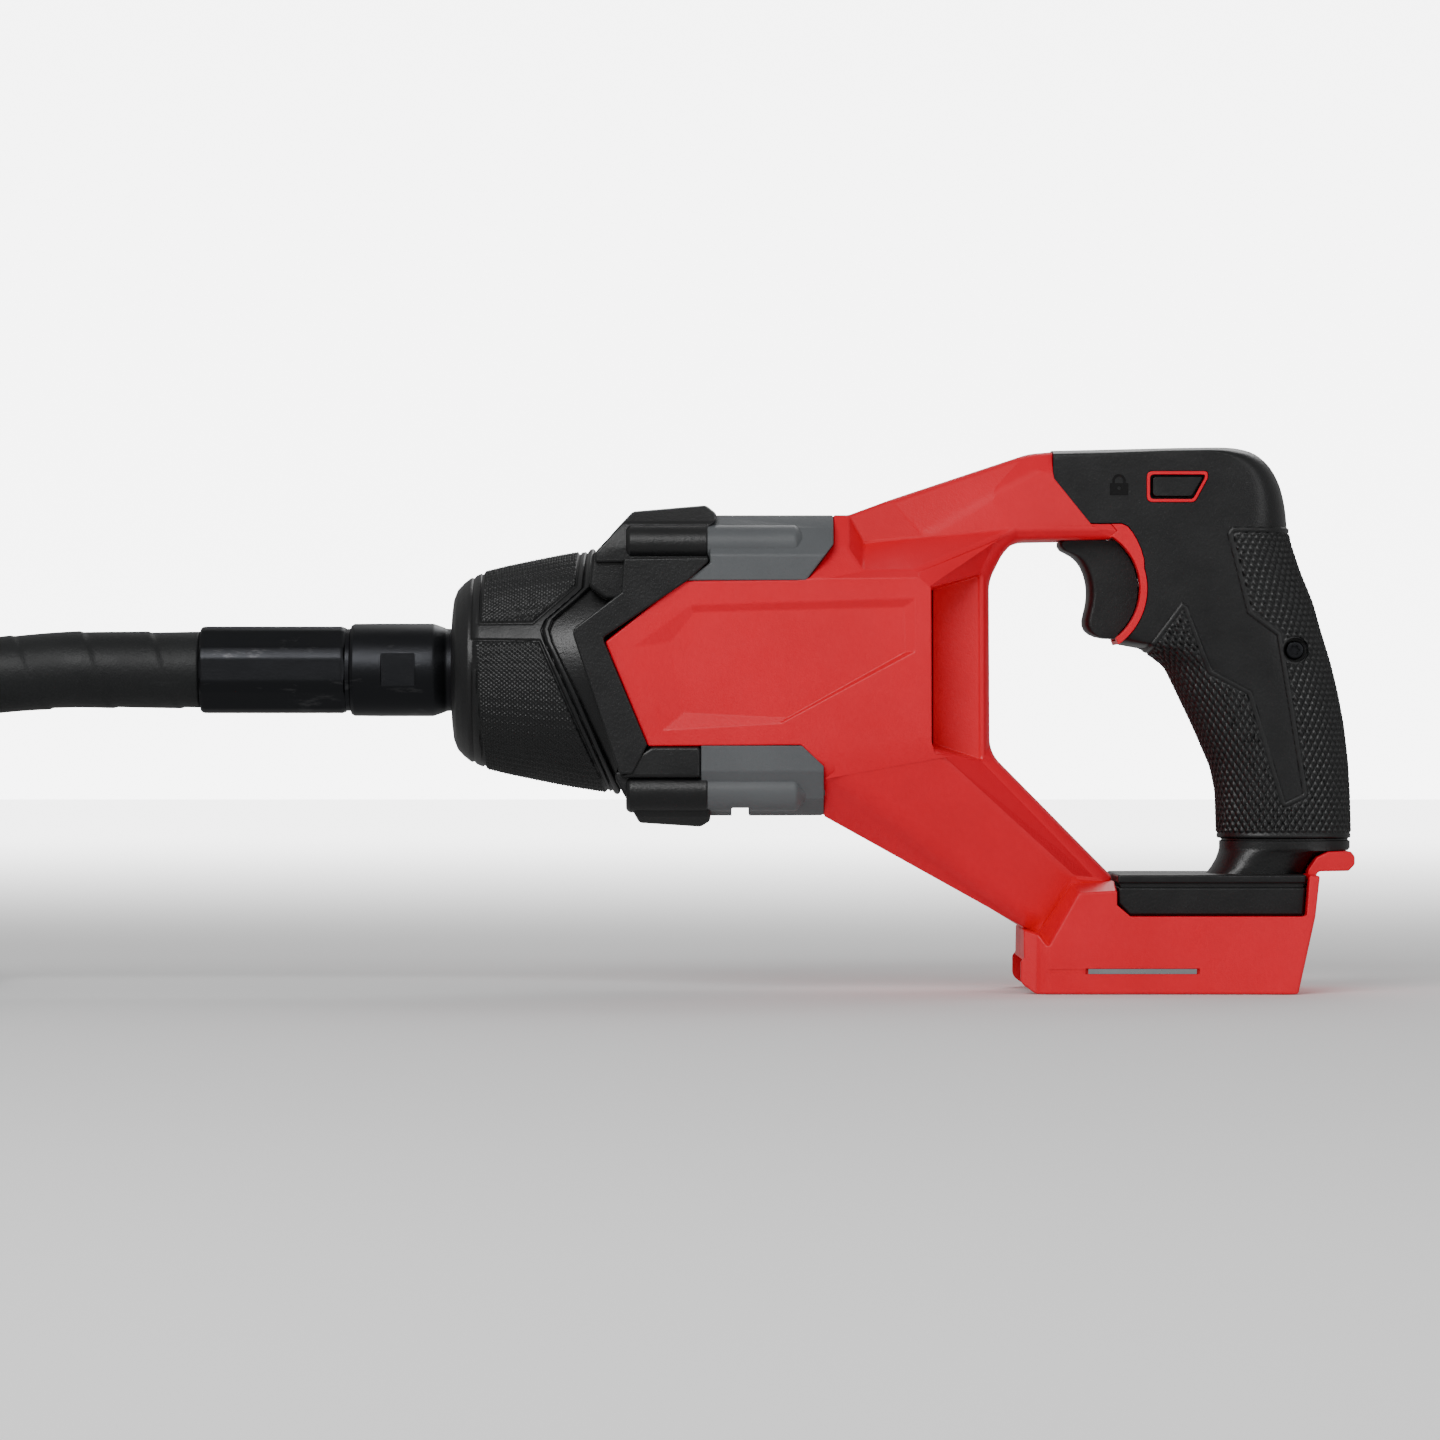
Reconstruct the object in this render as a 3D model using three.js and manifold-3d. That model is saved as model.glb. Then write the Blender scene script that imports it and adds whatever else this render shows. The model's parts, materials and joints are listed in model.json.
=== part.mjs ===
// A cordless concrete vibrator: a D-handled motor unit that drives a steel vibrating head through a flexible
// shaft in a rubber hose. Millimetres, +Z up. The nose points along -X and the battery foot stands on z = 0.
// The origin is the middle of the foot's flat bottom face.

import * as THREE from "three";
import { mergeVertices } from "three/addons/utils/BufferGeometryUtils.js";
import Module from "manifold-3d";

const wasm = await Module();
wasm.setup();

// ---- Driving dimensions ----

const AXIS_Z = 129; // height of the motor and spindle axis over the foot's bottom face
const SPLIT = 0.15; // half the gap between the two halves of a clamshell
const GAP = 0.3; // clearance between pieces that touch
const WALL = 3.2; // thickness of the moulded shells

const BARREL_HALF_WIDTH = 52; // motor barrel, side face to the middle plane
const BARREL_HALF_HEIGHT = 61.5;
const BARREL_FLAT = 45; // height over the axis at which the side face turns into the corner
const BARREL_TOP_HALF = 37; // half the width of the barrel's flat top
const POST_HALF_WIDTH = 33;
const ARM_HALF_WIDTH = 24;
const HANDLE_HALF_WIDTH = 19;
const FOOT_HALF_WIDTH = 40;

const NOSE_X = -285; // front of the rubber nose boot
const BOOT_REAR_X = -232;
const BUMPER_REAR_X = -182; // where the black front housing ends and the grey guards begin
const GUARD_REAR_X = -132;

const BOSS = { y: 43, z: 50.5 }; // the four corner bosses that hold the long nose screws, from the axis

const MOTOR_BORE_R = 44; // the barrel's round inside
const STATOR_R = 43.6;
const ROTOR_R = 21.4;
const SHAFT_R = 5;
const SPINDLE_R = 6;
const CASTING_R = 43.6;

const COUPLING_X = -387; // the coupling's mouth, where the hose leaves it
const HOSE_R = 15.5;
const HEAD_R = 16;
const HEAD_BORE_R = 12.5;

const TRIGGER_HALF_WIDTH = 10;
const TRIGGER_AXIS_Z = 164; // height of the trigger's spring and plunger
const BEZEL = { x: -34.6, z: 161.4, inner: 24.8, outer: 27.6, top: 0.96, bottom: -1.05 }; // behind the trigger
const LOCK_TRAVEL = 2.5; // each way from the middle

// The centreline of the hose as it lies: out of the coupling, down to the floor and round one open loop.
const HOSE_ROUTE = [
  [-387.3, 0, 129], [-412, 0, 129], [-440, 0, 129], [-467, 0, 127], [-496, 0, 122.5], [-524, 0, 114],
  [-551, 0, 102.5], [-577, 0, 88.5], [-602.5, 0, 73], [-630, -0.5, 57.5], [-658, -3, 43.5], [-687, -11.5, 32],
  [-715.5, -27, 23.5], [-741, -48.5, 18.5], [-761, -74.5, 16.5], [-775, -105, 16], [-781.5, -138, 16],
  [-780.5, -172, 16], [-771, -204.5, 16], [-754, -234.5, 16], [-731, -260, 16], [-703, -280, 16],
  [-671.5, -293.5, 16], [-637, -299.5, 16], [-603, -296, 16], [-571.5, -285, 16], [-544, -266, 16],
  [-523, -240.5, 16], [-509.5, -210, 16], [-504, -190, 16], [-504, -172, 16],
];

// ---- Materials ----

const plastic = (color, roughness) => new THREE.MeshStandardMaterial({ color, roughness, metalness: 0 });
const metal = (color, roughness) => new THREE.MeshStandardMaterial({ color, roughness, metalness: 1 });

const RED = plastic(0xd8232a, 0.5);
const BLACK = plastic(0x1c1d1f, 0.55);
const RUBBER = plastic(0x17181a, 0.85);
const GREY = plastic(0x55585b, 0.6);
const BLACK_STEEL = metal(0x2b2c2e, 0.4);
const STEEL = metal(0xa9abad, 0.35);
const ALUMINIUM = metal(0xb9bbbe, 0.45);
const COPPER = metal(0xb06a3b, 0.4);
const BRASS = metal(0xc9a35a, 0.35);
const LAMINATION = metal(0x6b6e72, 0.5);
const BOARD = plastic(0x2e3a33, 0.7);

// ---- Solids: three.js makes the shapes, manifold-3d joins and cuts them ----

function solid(geometry) {
  const bare = geometry.index ? geometry.toNonIndexed() : geometry;
  bare.deleteAttribute("normal");
  bare.deleteAttribute("uv");
  const merged = mergeVertices(bare, 1e-3);
  const corners = merged.index.array;
  const triVerts = [];
  for (let i = 0; i < corners.length; i += 3) {
    const [a, b, c] = corners.slice(i, i + 3);
    if (a !== b && b !== c && c !== a) triVerts.push(a, b, c);
  }
  return new wasm.Manifold(
    new wasm.Mesh({
      numProp: 3,
      vertProperties: merged.attributes.position.array,
      triVerts: new Uint32Array(triVerts),
    }),
  );
}

function geometryOf(manifold) {
  const { vertProperties, triVerts } = manifold.getMesh();
  const geometry = new THREE.BufferGeometry();
  geometry.setAttribute("position", new THREE.BufferAttribute(vertProperties, 3));
  geometry.setIndex(new THREE.BufferAttribute(triVerts, 1));
  geometry.computeVertexNormals();
  return geometry;
}

const join = (...solids) => solids.flat().reduce((all, next) => all.add(next));
const cut = (body, ...tools) => tools.flat().reduce((left, tool) => left.subtract(tool), body);

// An outline drawn in one plane and extruded square to it, its end edges chamfered.
function extruded(points, depth, chamfer) {
  const shape = new THREE.Shape(points.map(([x, y]) => new THREE.Vector2(x, y)));
  return new THREE.ExtrudeGeometry(shape, {
    depth: depth - 2 * chamfer,
    bevelEnabled: chamfer > 0,
    bevelThickness: chamfer,
    bevelSize: chamfer,
    bevelOffset: -chamfer,
    bevelSegments: 1,
  }).translate(0, 0, chamfer);
}

// An (x, z) outline, from y = low to y = high.
function prismY(points, low, high, chamfer = 0) {
  return solid(extruded(points, high - low, chamfer).rotateX(Math.PI / 2).translate(0, high, 0));
}

// A (y, z) outline, from x = low to x = high.
function prismX(points, low, high, chamfer = 0) {
  const turn = new THREE.Matrix4().set(0, 0, 1, low, 1, 0, 0, 0, 0, 1, 0, 0, 0, 0, 0, 1);
  return solid(extruded(points, high - low, chamfer).applyMatrix4(turn));
}

function box(low, high) {
  const size = high.map((value, i) => value - low[i]);
  const middle = high.map((value, i) => (value + low[i]) / 2);
  return solid(new THREE.BoxGeometry(...size).translate(...middle));
}

// A profile of [x, radius] points, anticlockwise with radius upwards, turned about the x axis.
// An open profile starts and ends on the axis.
function turned(profile, segments = 24) {
  const closed = profile[0][1] > 0 ? [...profile, profile[0]] : profile;
  const points = closed.map(([x, radius]) => new THREE.Vector2(radius, x)).reverse();
  return solid(new THREE.LatheGeometry(points, segments).rotateZ(-Math.PI / 2));
}

const bar = (x0, x1, radius, segments = 20) =>
  turned([[x1, 0], [x1, radius], [x0, radius], [x0, 0]], segments);
const ring = (x0, x1, outer, inner, segments = 24) =>
  turned([[x0, inner], [x1, inner], [x1, outer], [x0, outer]], segments);

// A round bar along y through (x, z).
function barY(x, z, y0, y1, radius, segments = 12) {
  return solid(
    new THREE.CylinderGeometry(radius, radius, y1 - y0, segments).translate(x, (y0 + y1) / 2, z),
  );
}

// An outline grown (or, below zero, shrunk) by a distance, its corners mitred.
function grown(points, distance) {
  const count = points.length;
  const at = (i) => points[(i + count) % count];
  const area = points.reduce((sum, [x, z], i) => sum + x * at(i + 1)[1] - at(i + 1)[0] * z, 0);
  const out = Math.sign(area) * distance;
  const normal = ([x0, z0], [x1, z1]) => {
    const length = Math.hypot(x1 - x0, z1 - z0);
    return [(z1 - z0) / length, (x0 - x1) / length];
  };
  return points.map(([x, z], i) => {
    const [ax, az] = normal(at(i - 1), at(i));
    const [bx, bz] = normal(at(i), at(i + 1));
    const mitre = out / (1 + ax * bx + az * bz);
    return [x + (ax + bx) * mitre, z + (az + bz) * mitre];
  });
}

function arc(x, z, radius, from, to, steps) {
  return Array.from({ length: steps + 1 }, (_, i) => {
    const angle = from + ((to - from) * i) / steps;
    return [x + radius * Math.cos(angle), z + radius * Math.sin(angle)];
  });
}

const CORNERS = [[-1, 1], [1, 1], [-1, -1], [1, -1]];
const onAxis = (manifold) => manifold.translate([0, 0, AXIS_Z]);
const atCorners = (manifold) =>
  CORNERS.map(([y, z]) => manifold.translate([0, y * BOSS.y, AXIS_Z + z * BOSS.z]));

const BIG = 900;
const leftHalf = (body) => body.subtract(box([-BIG, -SPLIT, -BIG], [BIG, BIG, BIG]));
const rightHalf = (body) => body.subtract(box([-BIG, -BIG, -BIG], [BIG, SPLIT, BIG]));

// ---- The scene graph ----

const vibrator = new THREE.Group();
const drive = new THREE.Group(); // what is turned about the motor axis, drawn with that axis at z = 0
drive.position.set(0, 0, AXIS_Z);
const head = new THREE.Group(); // the vibrating head, drawn along +x from the end of the hose
head.position.set(...HOSE_ROUTE.at(-1));
head.rotation.z = Math.PI / 2;
vibrator.add(drive, head);

function piece(name, manifold, material, parent = vibrator) {
  const mesh = new THREE.Mesh(geometryOf(manifold), material);
  mesh.name = name;
  parent.add(mesh);
}

// ---- Red clamshell: barrel, post, arms and foot ----

const PANEL = [
  [-223.6, 141], [-206.8, 98.4], [-186, 98.4], [-182, 99.8], [-148.8, 99.8], [-135.6, 88], [-132, 70],
  [-93, 68], [-93, 190.5], [-131.7, 190.5], [-132.8, 176.8], [-144.8, 164.6], [-192.4, 163.8],
];
const POST = [[-104, 68], [-66, 97], [-70, 105], [-70, 170], [-64, 181], [-84, 191], [-104, 191]];
const POST_BAY = [[-96, 104], [-78, 104], [-78, 168], [-96, 168]];
const UPPER_ARM = [
  [-128, 172], [-84, 168], [-72, 170], [-64, 178], [-58, 180.4], [-45.6, 180.4], [-45.6, 216.2], [-54, 216],
  [-126, 191.4],
];
const UPPER_ARM_BAY = [[-90, 176], [-62, 186], [-49, 186], [-49, 208], [-90, 196]];
const TRIGGER_ROOF = [[-60, 180.4], [-24, 180.4], [-24, 186.3], [-33, 186.3], [-45.6, 202], [-60, 202]];
const LOWER_ARM = [[-131, 69.5], [-58, 26.8], [-50, 24], [-28, 24], [-22, 47.2], [-70, 100], [-104, 106]];
const LOWER_ARM_BAY = [[-92, 96], [-84, 76], [-50, 34], [-32, 34], [-32, 46], [-76, 92]];
const FOOT = [
  [-57.2, 6], [-50, 0], [52.4, 0], [57, 31.5], [-16.3, 31.5], [-20, 39.4], [-20, 47.2], [-46, 43], [-57.2, 26],
];
const FOOT_BAY = [[-48, 19], [50, 19], [51, 27.5], [-20, 27.5], [-24, 36], [-40, 36], [-48, 28]];
const REAR_LIP = [
  [50, 26], [57.4, 30], [59.6, 43], [61, 47.6], [73, 48.4], [76, 52], [75.6, 56.2], [64, 55.4], [60, 52.6],
  [58, 47.6], [57.6, 44], [56.9, 31.5], [50, 31.5],
];
const BATTERY_BAY = { x0: -60, x1: 44, y: 34, z: 13.5 }; // open at the front, where the pack slides in
const SIDE_SLOT = [[-33, 6.8], [12.4, 6.8], [12.4, 11.2], [-33, 11.2]];
const SLOT_DEPTH = 1.6;
const HOUSING_SCREWS = [[-108, 181], [-53, 197], [-81, 64], [-41, 31]];
const SCREW_HEAD_R = 3.6;
const SCREW_SHANK_R = 1.8;
const BEARING_SEAT_R = 11.3;
const NOSE_SCREW = { front: -206, end: -116, head: 4, shank: 2 };
const BASE_TOP = 22; // the battery base ends here and the handle frame above it begins
const FRAME_FRONT = -99; // the motor housing ends here and the handle frame begins

// The barrel's cross-section: flat sides, flat top and bottom, and sloping corners.
function barrelSection(swell = 0) {
  const quarter = [
    [BARREL_HALF_WIDTH + swell, BARREL_FLAT],
    [BARREL_TOP_HALF, BARREL_HALF_HEIGHT + swell],
  ];
  const top = [...quarter, ...quarter.map(([y, z]) => [-y, z]).reverse()];
  return [...top, ...top.map(([y, z]) => [-y, -z])].map(([y, z]) => [y, AXIS_Z + z]);
}

function redBody() {
  const arm = ARM_HALF_WIDTH;
  const outside = join(
    prismY(PANEL, -BIG, BIG).intersect(prismX(barrelSection(), -240, -80)),
    prismY(POST, -POST_HALF_WIDTH, POST_HALF_WIDTH, 5),
    prismY(UPPER_ARM, -arm, arm, 4),
    prismY(TRIGGER_ROOF, -HANDLE_HALF_WIDTH, HANDLE_HALF_WIDTH),
    prismY(LOWER_ARM, -arm, arm, 5),
    prismY(FOOT, -FOOT_HALF_WIDTH, FOOT_HALF_WIDTH, 2.5),
    prismY(REAR_LIP, -FOOT_HALF_WIDTH / 2, FOOT_HALF_WIDTH / 2),
  );
  const hollow = join(
    onAxis(bar(-230, -122, MOTOR_BORE_R, 36)),
    onAxis(bar(-123, -95, BEARING_SEAT_R)),
    prismY(POST_BAY, -POST_HALF_WIDTH + 9, POST_HALF_WIDTH - 9),
    prismY(UPPER_ARM_BAY, -arm + WALL, arm - WALL),
    prismY(LOWER_ARM_BAY, -arm + WALL, arm - WALL),
    prismY(FOOT_BAY, -FOOT_HALF_WIDTH + WALL, FOOT_HALF_WIDTH - WALL),
  );
  const bosses = join(HOUSING_SCREWS.map(([x, z]) => barY(x, z, -22, 22, SCREW_HEAD_R + 1.6)));
  const { x0, x1, y, z } = BATTERY_BAY;
  const slots = [-1, 1].map((side) => {
    const face = side * FOOT_HALF_WIDTH;
    return prismY(SIDE_SLOT, face - SLOT_DEPTH, face + SLOT_DEPTH);
  });
  const screwHoles = HOUSING_SCREWS.flatMap(([hx, hz]) => [
    barY(hx, hz, -16, BIG, SCREW_SHANK_R + GAP),
    barY(hx, hz, 15.5, BIG, SCREW_HEAD_R + GAP),
  ]);
  return cut(
    outside.subtract(hollow).add(bosses),
    box([x0, -y, -1], [x1, y, z]),
    slots,
    screwHoles,
    atCorners(bar(-240, NOSE_SCREW.end + 1, NOSE_SCREW.shank + GAP, 12)),
  );
}

// The red body is the motor housing, the open frame behind it that carries the handle, and the base
// with the battery bay. Each is a left and a right half.
function addClamshell() {
  const body = redBody();
  const base = cut(body, box([-BIG, -BIG, BASE_TOP], [BIG, BIG, BIG]));
  const above = cut(body, box([-BIG, -BIG, -BIG], [BIG, BIG, BASE_TOP + GAP]));
  const housing = cut(above, box([FRAME_FRONT, -BIG, -BIG], [BIG, BIG, BIG]));
  const frame = cut(above, box([-BIG, -BIG, -BIG], [FRAME_FRONT + GAP, BIG, BIG]));
  Object.entries({ housing, frame, battery_base: base }).forEach(([name, part]) => {
    piece(`left_${name}`, leftHalf(part), RED);
    piece(`right_${name}`, rightHalf(part), RED);
  });
  HOUSING_SCREWS.forEach(([x, z], i) => {
    const screw = join(barY(x, z, -14, 16, SCREW_SHANK_R), barY(x, z, 15.9, 19, SCREW_HEAD_R));
    piece(`housing_screw_${i + 1}`, screw, BLACK_STEEL);
  });
  const strip = grown(SIDE_SLOT, -1.2);
  const face = FOOT_HALF_WIDTH;
  piece("left_foot_strip", prismY(strip, -face + GAP, -face + SLOT_DEPTH - GAP), STEEL);
  piece("right_foot_strip", prismY(strip, face - SLOT_DEPTH + GAP, face - GAP), STEEL);
}

// ---- Battery rail, its contacts and the controller ----

const RAIL = { front: -50, y: 13, groove: 8 };
const CONTACTS = [-7, 0, 7];

function addBatteryRail() {
  const { x1, y, z } = BATTERY_BAY;
  const rail = join(
    box([RAIL.front + 2, -RAIL.y, 0], [x1 - 3, RAIL.y, z - GAP]),
    box([RAIL.front, -y + 1, RAIL.groove], [x1 - 1, y - 1, z - GAP]),
  );
  const slots = CONTACTS.filter((at) => at !== 0).map((at) => box([8, at - 1.5, -1], [34, at + 1.5, 9]));
  piece("battery_rail", cut(rail, slots, box([14, -1.5, -1], [34, 1.5, 9])), BLACK);
  CONTACTS.forEach((at, i) => {
    piece(`battery_contact_${i + 1}`, box([16, at - 0.5, 1.2], [32, at + 0.5, 8.7]), BRASS);
  });
  piece("controller", box([-34, -26, 19.6], [36, 26, 26.8]), BOARD);
}

// ---- Black handle and its rubber grip ----

const bezelArc = (radius, steps = 12) =>
  arc(BEZEL.x, BEZEL.z, radius, BEZEL.top, BEZEL.bottom, steps);

const HANDLE_TOP = [
  ...bezelArc(BEZEL.outer + GAP),
  [-12, 136.8], [-6, 134.8], [49.2, 184], [48.4, 194], [46, 204.8], [40, 212.6],
  [30, 217.2], [24, 217.8], [-45.2, 216.4], [-45.2, 202.2], [-32.6, 186.7], [-22, 186.7],
];
const GRIP = [
  [-5.4, 134.7], [-2, 131], [8.4, 112], [14, 98.8], [18.8, 80.8], [20.4, 68.8], [20.8, 60.7], [75.2, 60.7],
  [73.6, 84.8], [70, 112.8], [65.2, 134.8], [59.6, 152], [54, 166.8], [49.6, 183.6],
];
const GRIP_CORE = [
  [-2, 137.5], [3.6, 130], [12, 113], [17.6, 99], [22.4, 81], [24.2, 69], [24.6, 54], [71.4, 54], [69.8, 84.6],
  [66.2, 112], [61.4, 134], [55.8, 151], [50.2, 166], [44.6, 183],
];
const FOOT_COVER = [[-19.7, 47.4], [-19.7, 39.6], [-16, 31.9], [56.4, 31.9], [57.2, 43.4], [57.4, 47.4]];
const NECK = [
  [20.8, 60.3], [19.4, 50.4], [14, 46], [57, 46], [57.6, 48], [59.8, 53.2], [63.8, 55.8], [75.2, 56.7],
  [75.2, 60.3],
];
const SWITCH_BAY = { x0: 2, x1: 30, y: 11, z0: 146, z1: 183 };
const TRIGGER_BAY = { x0: -50, x1: 2, y: TRIGGER_HALF_WIDTH + 0.6, z0: 140.6, z1: 182 };
const WIRE_WAY = [[28, 150], [42, 150], [58, 110], [60, 70], [60, 36], [32, 36], [34, 70], [28, 110]];
const HANDLE_SCREW = { x: 52.4, z: 136.8 };
const FOOT_COVER_HALF_WIDTH = 34;
const CORE_INSET = 3.6; // how much narrower than the grip the handle's core is, on each side

const LOCK_RIM = [[-7.2, 196], [12, 196], [17.2, 205.6], [17.2, 208.4], [-7.2, 208.4]];
const LOCK_HOLE = [[-5.2, 198], [11, 198], [15.2, 205.4], [15.2, 206.4], [-5.2, 206.4]];

const bay = ({ x0, x1, y, z0, z1 }) => box([x0, -y, z0], [x1, y, z1]);

function handleBody() {
  const core = HANDLE_HALF_WIDTH - CORE_INSET;
  const outside = join(
    prismY(HANDLE_TOP, -HANDLE_HALF_WIDTH, HANDLE_HALF_WIDTH, 2),
    prismY(GRIP_CORE, -core, core, 2),
    prismY(NECK, -HANDLE_HALF_WIDTH, HANDLE_HALF_WIDTH),
    prismY(FOOT_COVER, -FOOT_COVER_HALF_WIDTH, FOOT_COVER_HALF_WIDTH, 2),
  );
  const { x, z } = HANDLE_SCREW;
  return cut(
    outside,
    bay(TRIGGER_BAY),
    bay(SWITCH_BAY),
    prismY(WIRE_WAY, -9, 9),
    prismY(grown(LOCK_RIM, GAP), -BIG, BIG),
    barY(x, z, -BIG, 9, SCREW_SHANK_R + GAP),
    barY(x, z, -BIG, -11.5, SCREW_HEAD_R + GAP),
    prismY(grown(REAR_LIP, GAP), -BIG, BIG),
  );
}

function addHandle() {
  const body = handleBody();
  piece("left_handle", leftHalf(body), BLACK);
  piece("right_handle", rightHalf(body), BLACK);
  const { x, z } = HANDLE_SCREW;
  const core = HANDLE_HALF_WIDTH - CORE_INSET + GAP;
  const grip = cut(
    prismY(GRIP, -HANDLE_HALF_WIDTH, HANDLE_HALF_WIDTH, 2.6),
    prismY(grown(GRIP_CORE, GAP), -core, core),
    barY(x, z, -BIG, 0, SCREW_HEAD_R + 1.6),
  );
  piece("left_grip", leftHalf(grip), RUBBER);
  piece("right_grip", rightHalf(grip), RUBBER);
  const screw = join(barY(x, z, -14.5, -11.8, SCREW_HEAD_R), barY(x, z, -12, 8, SCREW_SHANK_R));
  piece("handle_screw", screw, BLACK_STEEL);
}

// ---- Trigger, its spring and switch, and the lock-off button ----

const SPRING = { back: -24, front: 2.2, outer: 4.2, inner: 3 };

function addTrigger() {
  const face = [
    [-18, 179.8], [-42, 179.8], [-41.4, 176.8], [-36, 174.4], [-31.6, 168], [-30, 160], [-30.8, 152.8],
    [-32.4, 146.8], [-31.6, 142.8], [-29, 141.2], [-19, 141.2],
  ];
  const back = arc(BEZEL.x, BEZEL.z, BEZEL.inner - 0.5, -0.82, 0.8, 10);
  const body = prismY([...face, ...back], -TRIGGER_HALF_WIDTH, TRIGGER_HALF_WIDTH, 1.2);
  const along = (manifold) => manifold.translate([0, 0, TRIGGER_AXIS_Z]);
  const springBore = along(bar(SPRING.back - GAP, 2, SPRING.outer + 0.4, 16));
  piece("trigger", cut(body, springBore), BLACK);
  piece("trigger_spring", along(ring(SPRING.back, SPRING.front, SPRING.outer, SPRING.inner, 16)), STEEL);
  const { x0, x1, y, z0, z1 } = SWITCH_BAY;
  const plunger = along(bar(-12, x0 + 1, SPRING.inner - 0.5, 16));
  const switchBody = box([x0 + 0.5, 1 - y, z0 + 3], [x1 - 1, y - 1, z1 - 1]);
  piece("trigger_switch", join(switchBody, plunger), BLACK);

  const band = [...bezelArc(BEZEL.outer), ...bezelArc(BEZEL.inner).reverse()];
  const half = HANDLE_HALF_WIDTH - 1;
  piece("trigger_bezel", cut(prismY(band, -half, half), bay(TRIGGER_BAY)), RED);
}

function addLockButton() {
  const reach = HANDLE_HALF_WIDTH + LOCK_TRAVEL - 1;
  piece("lock_button", prismY(grown(LOCK_HOLE, -0.4), -reach, reach), BLACK);
  const depth = 6;
  for (const [side, name] of [[-1, "left_lock_bezel"], [1, "right_lock_bezel"]]) {
    const low = side < 0 ? -HANDLE_HALF_WIDTH : HANDLE_HALF_WIDTH - depth;
    piece(name, cut(prismY(LOCK_RIM, low, low + depth), prismY(LOCK_HOLE, -BIG, BIG)), RED);
  }
}

// ---- Front housing, corner guards and the rubber nose ----

const CHEVRON = [
  [-228, 178], [-229.5, 160.8], [-244.8, 146.8], [-246.5, 140], [-240, 130.8], [-221.2, 84], [-217, 76],
  [-209.5, 66],
  [-182, 66], [-182, 192], [-216, 192],
];
const BUMPER_SWELL = 1.5; // how far the black front housing stands proud of the barrel

function addFrontHousing() {
  const shoulder = turned([
    [BUMPER_REAR_X, 0], [BUMPER_REAR_X, 80], [-206, 70], [-214, 62], [-224, 52], [-230, 47.4], [-250, 43.8],
    [-250, 0],
  ], 36);
  const shell = onAxis(shoulder)
    .intersect(prismX(barrelSection(BUMPER_SWELL), -250, BUMPER_REAR_X))
    .intersect(prismY(CHEVRON, -BIG, BIG));
  const body = cut(
    join(shell, atCorners(bar(-212, BUMPER_REAR_X, 9, 16))),
    onAxis(bar(-260, -170, MOTOR_BORE_R + 0.4, 36)),
    prismY(grown(PANEL, GAP), -BIG, BIG),
    atCorners(bar(-260, -170, NOSE_SCREW.shank + GAP, 12)),
    atCorners(bar(-260, NOSE_SCREW.front + 3 + GAP, NOSE_SCREW.head + GAP, 16)),
  );
  piece("front_housing", body, BLACK);

  const boot = onAxis(turned([
    [NOSE_X, 20], [-281.4, 20], [-281.4, 26.4], [-277.4, 32], [-236.2, 42.5], [-231, 44.4], [-214, 44.4],
    [-214, 50],
    [-232, 47.4], [-252, 43.6], [-274, 38.4], [-280, 35], [-284, 29],
  ], 36));
  piece("nose_boot", cut(boot, prismY(grown(CHEVRON, GAP), -BIG, BIG)), RUBBER);
}

function addGuards() {
  const x0 = BUMPER_REAR_X + GAP;
  const x1 = GUARD_REAR_X - GAP;
  const whole = cut(
    join(prismX(barrelSection(), x0, x1), atCorners(bar(x0, x1, 8, 16))),
    onAxis(bar(-200, -120, MOTOR_BORE_R + 0.4, 36)),
    prismY(grown(PANEL, GAP), -BIG, BIG),
    atCorners(bar(-200, -120, NOSE_SCREW.shank + GAP, 12)),
  );
  piece("top_guard", cut(whole, box([-BIG, -BIG, -BIG], [BIG, BIG, AXIS_Z])), GREY);
  piece("bottom_guard", cut(whole, box([-BIG, -BIG, AXIS_Z], [BIG, BIG, BIG])), GREY);
  const { front, end, head: headR, shank } = NOSE_SCREW;
  atCorners(join(bar(front, front + 3, headR, 16), bar(front + 2, end, shank, 12))).forEach((screw, i) => {
    piece(`nose_screw_${i + 1}`, screw, BLACK_STEEL);
  });
}

// ---- Motor, spindle and bearings ----

function addMotor() {
  const casting = turned([
    [-281, 12.4], [-262, 12.4], [-262, BEARING_SEAT_R], [-246, BEARING_SEAT_R], [-246, 8.6], [-240, 8.6],
    [-238, 13.3], [-224, 13.3], [-224, 40], [-208.5, 40], [-208.5, CASTING_R], [-231, CASTING_R], [-236, 42],
    [-277, 31.5], [-281, 26],
  ], 36);
  piece("nose_casting", casting, ALUMINIUM, drive);
  piece("spindle_bearing", ring(-261.7, -250, BEARING_SEAT_R - GAP, SPINDLE_R + GAP), STEEL, drive);
  piece("front_bearing", ring(-236.5, -226, 13, SHAFT_R + GAP), STEEL, drive);
  piece("rear_bearing", ring(-121.7, -112, BEARING_SEAT_R - GAP, SHAFT_R + GAP), STEEL, drive);
  piece("stator", ring(-197, -152, STATOR_R, ROTOR_R + 0.6, 36), LAMINATION, drive);
  piece("front_winding", ring(-206, -197.3, 37, 25), COPPER, drive);
  piece("rear_winding", ring(-151.7, -144, 37, 25), COPPER, drive);

  const spindle = turned([
    [-237.6, 0], [-237.6, 8], [-243, 8], [-243, SPINDLE_R], [-276, SPINDLE_R], [-276, 0],
  ]);
  piece("spindle", spindle, STEEL, drive);
  piece("motor_shaft", bar(-237.3, -112, SHAFT_R), STEEL, drive);
  piece("rotor", ring(-198, -151, ROTOR_R, SHAFT_R + GAP), LAMINATION, drive);
  piece("fan", fan(), BLACK, drive);
}

const FAN = { x0: -141, x1: -130, hub: 12, disc: 40, blades: 9, thickness: 2 };

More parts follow.
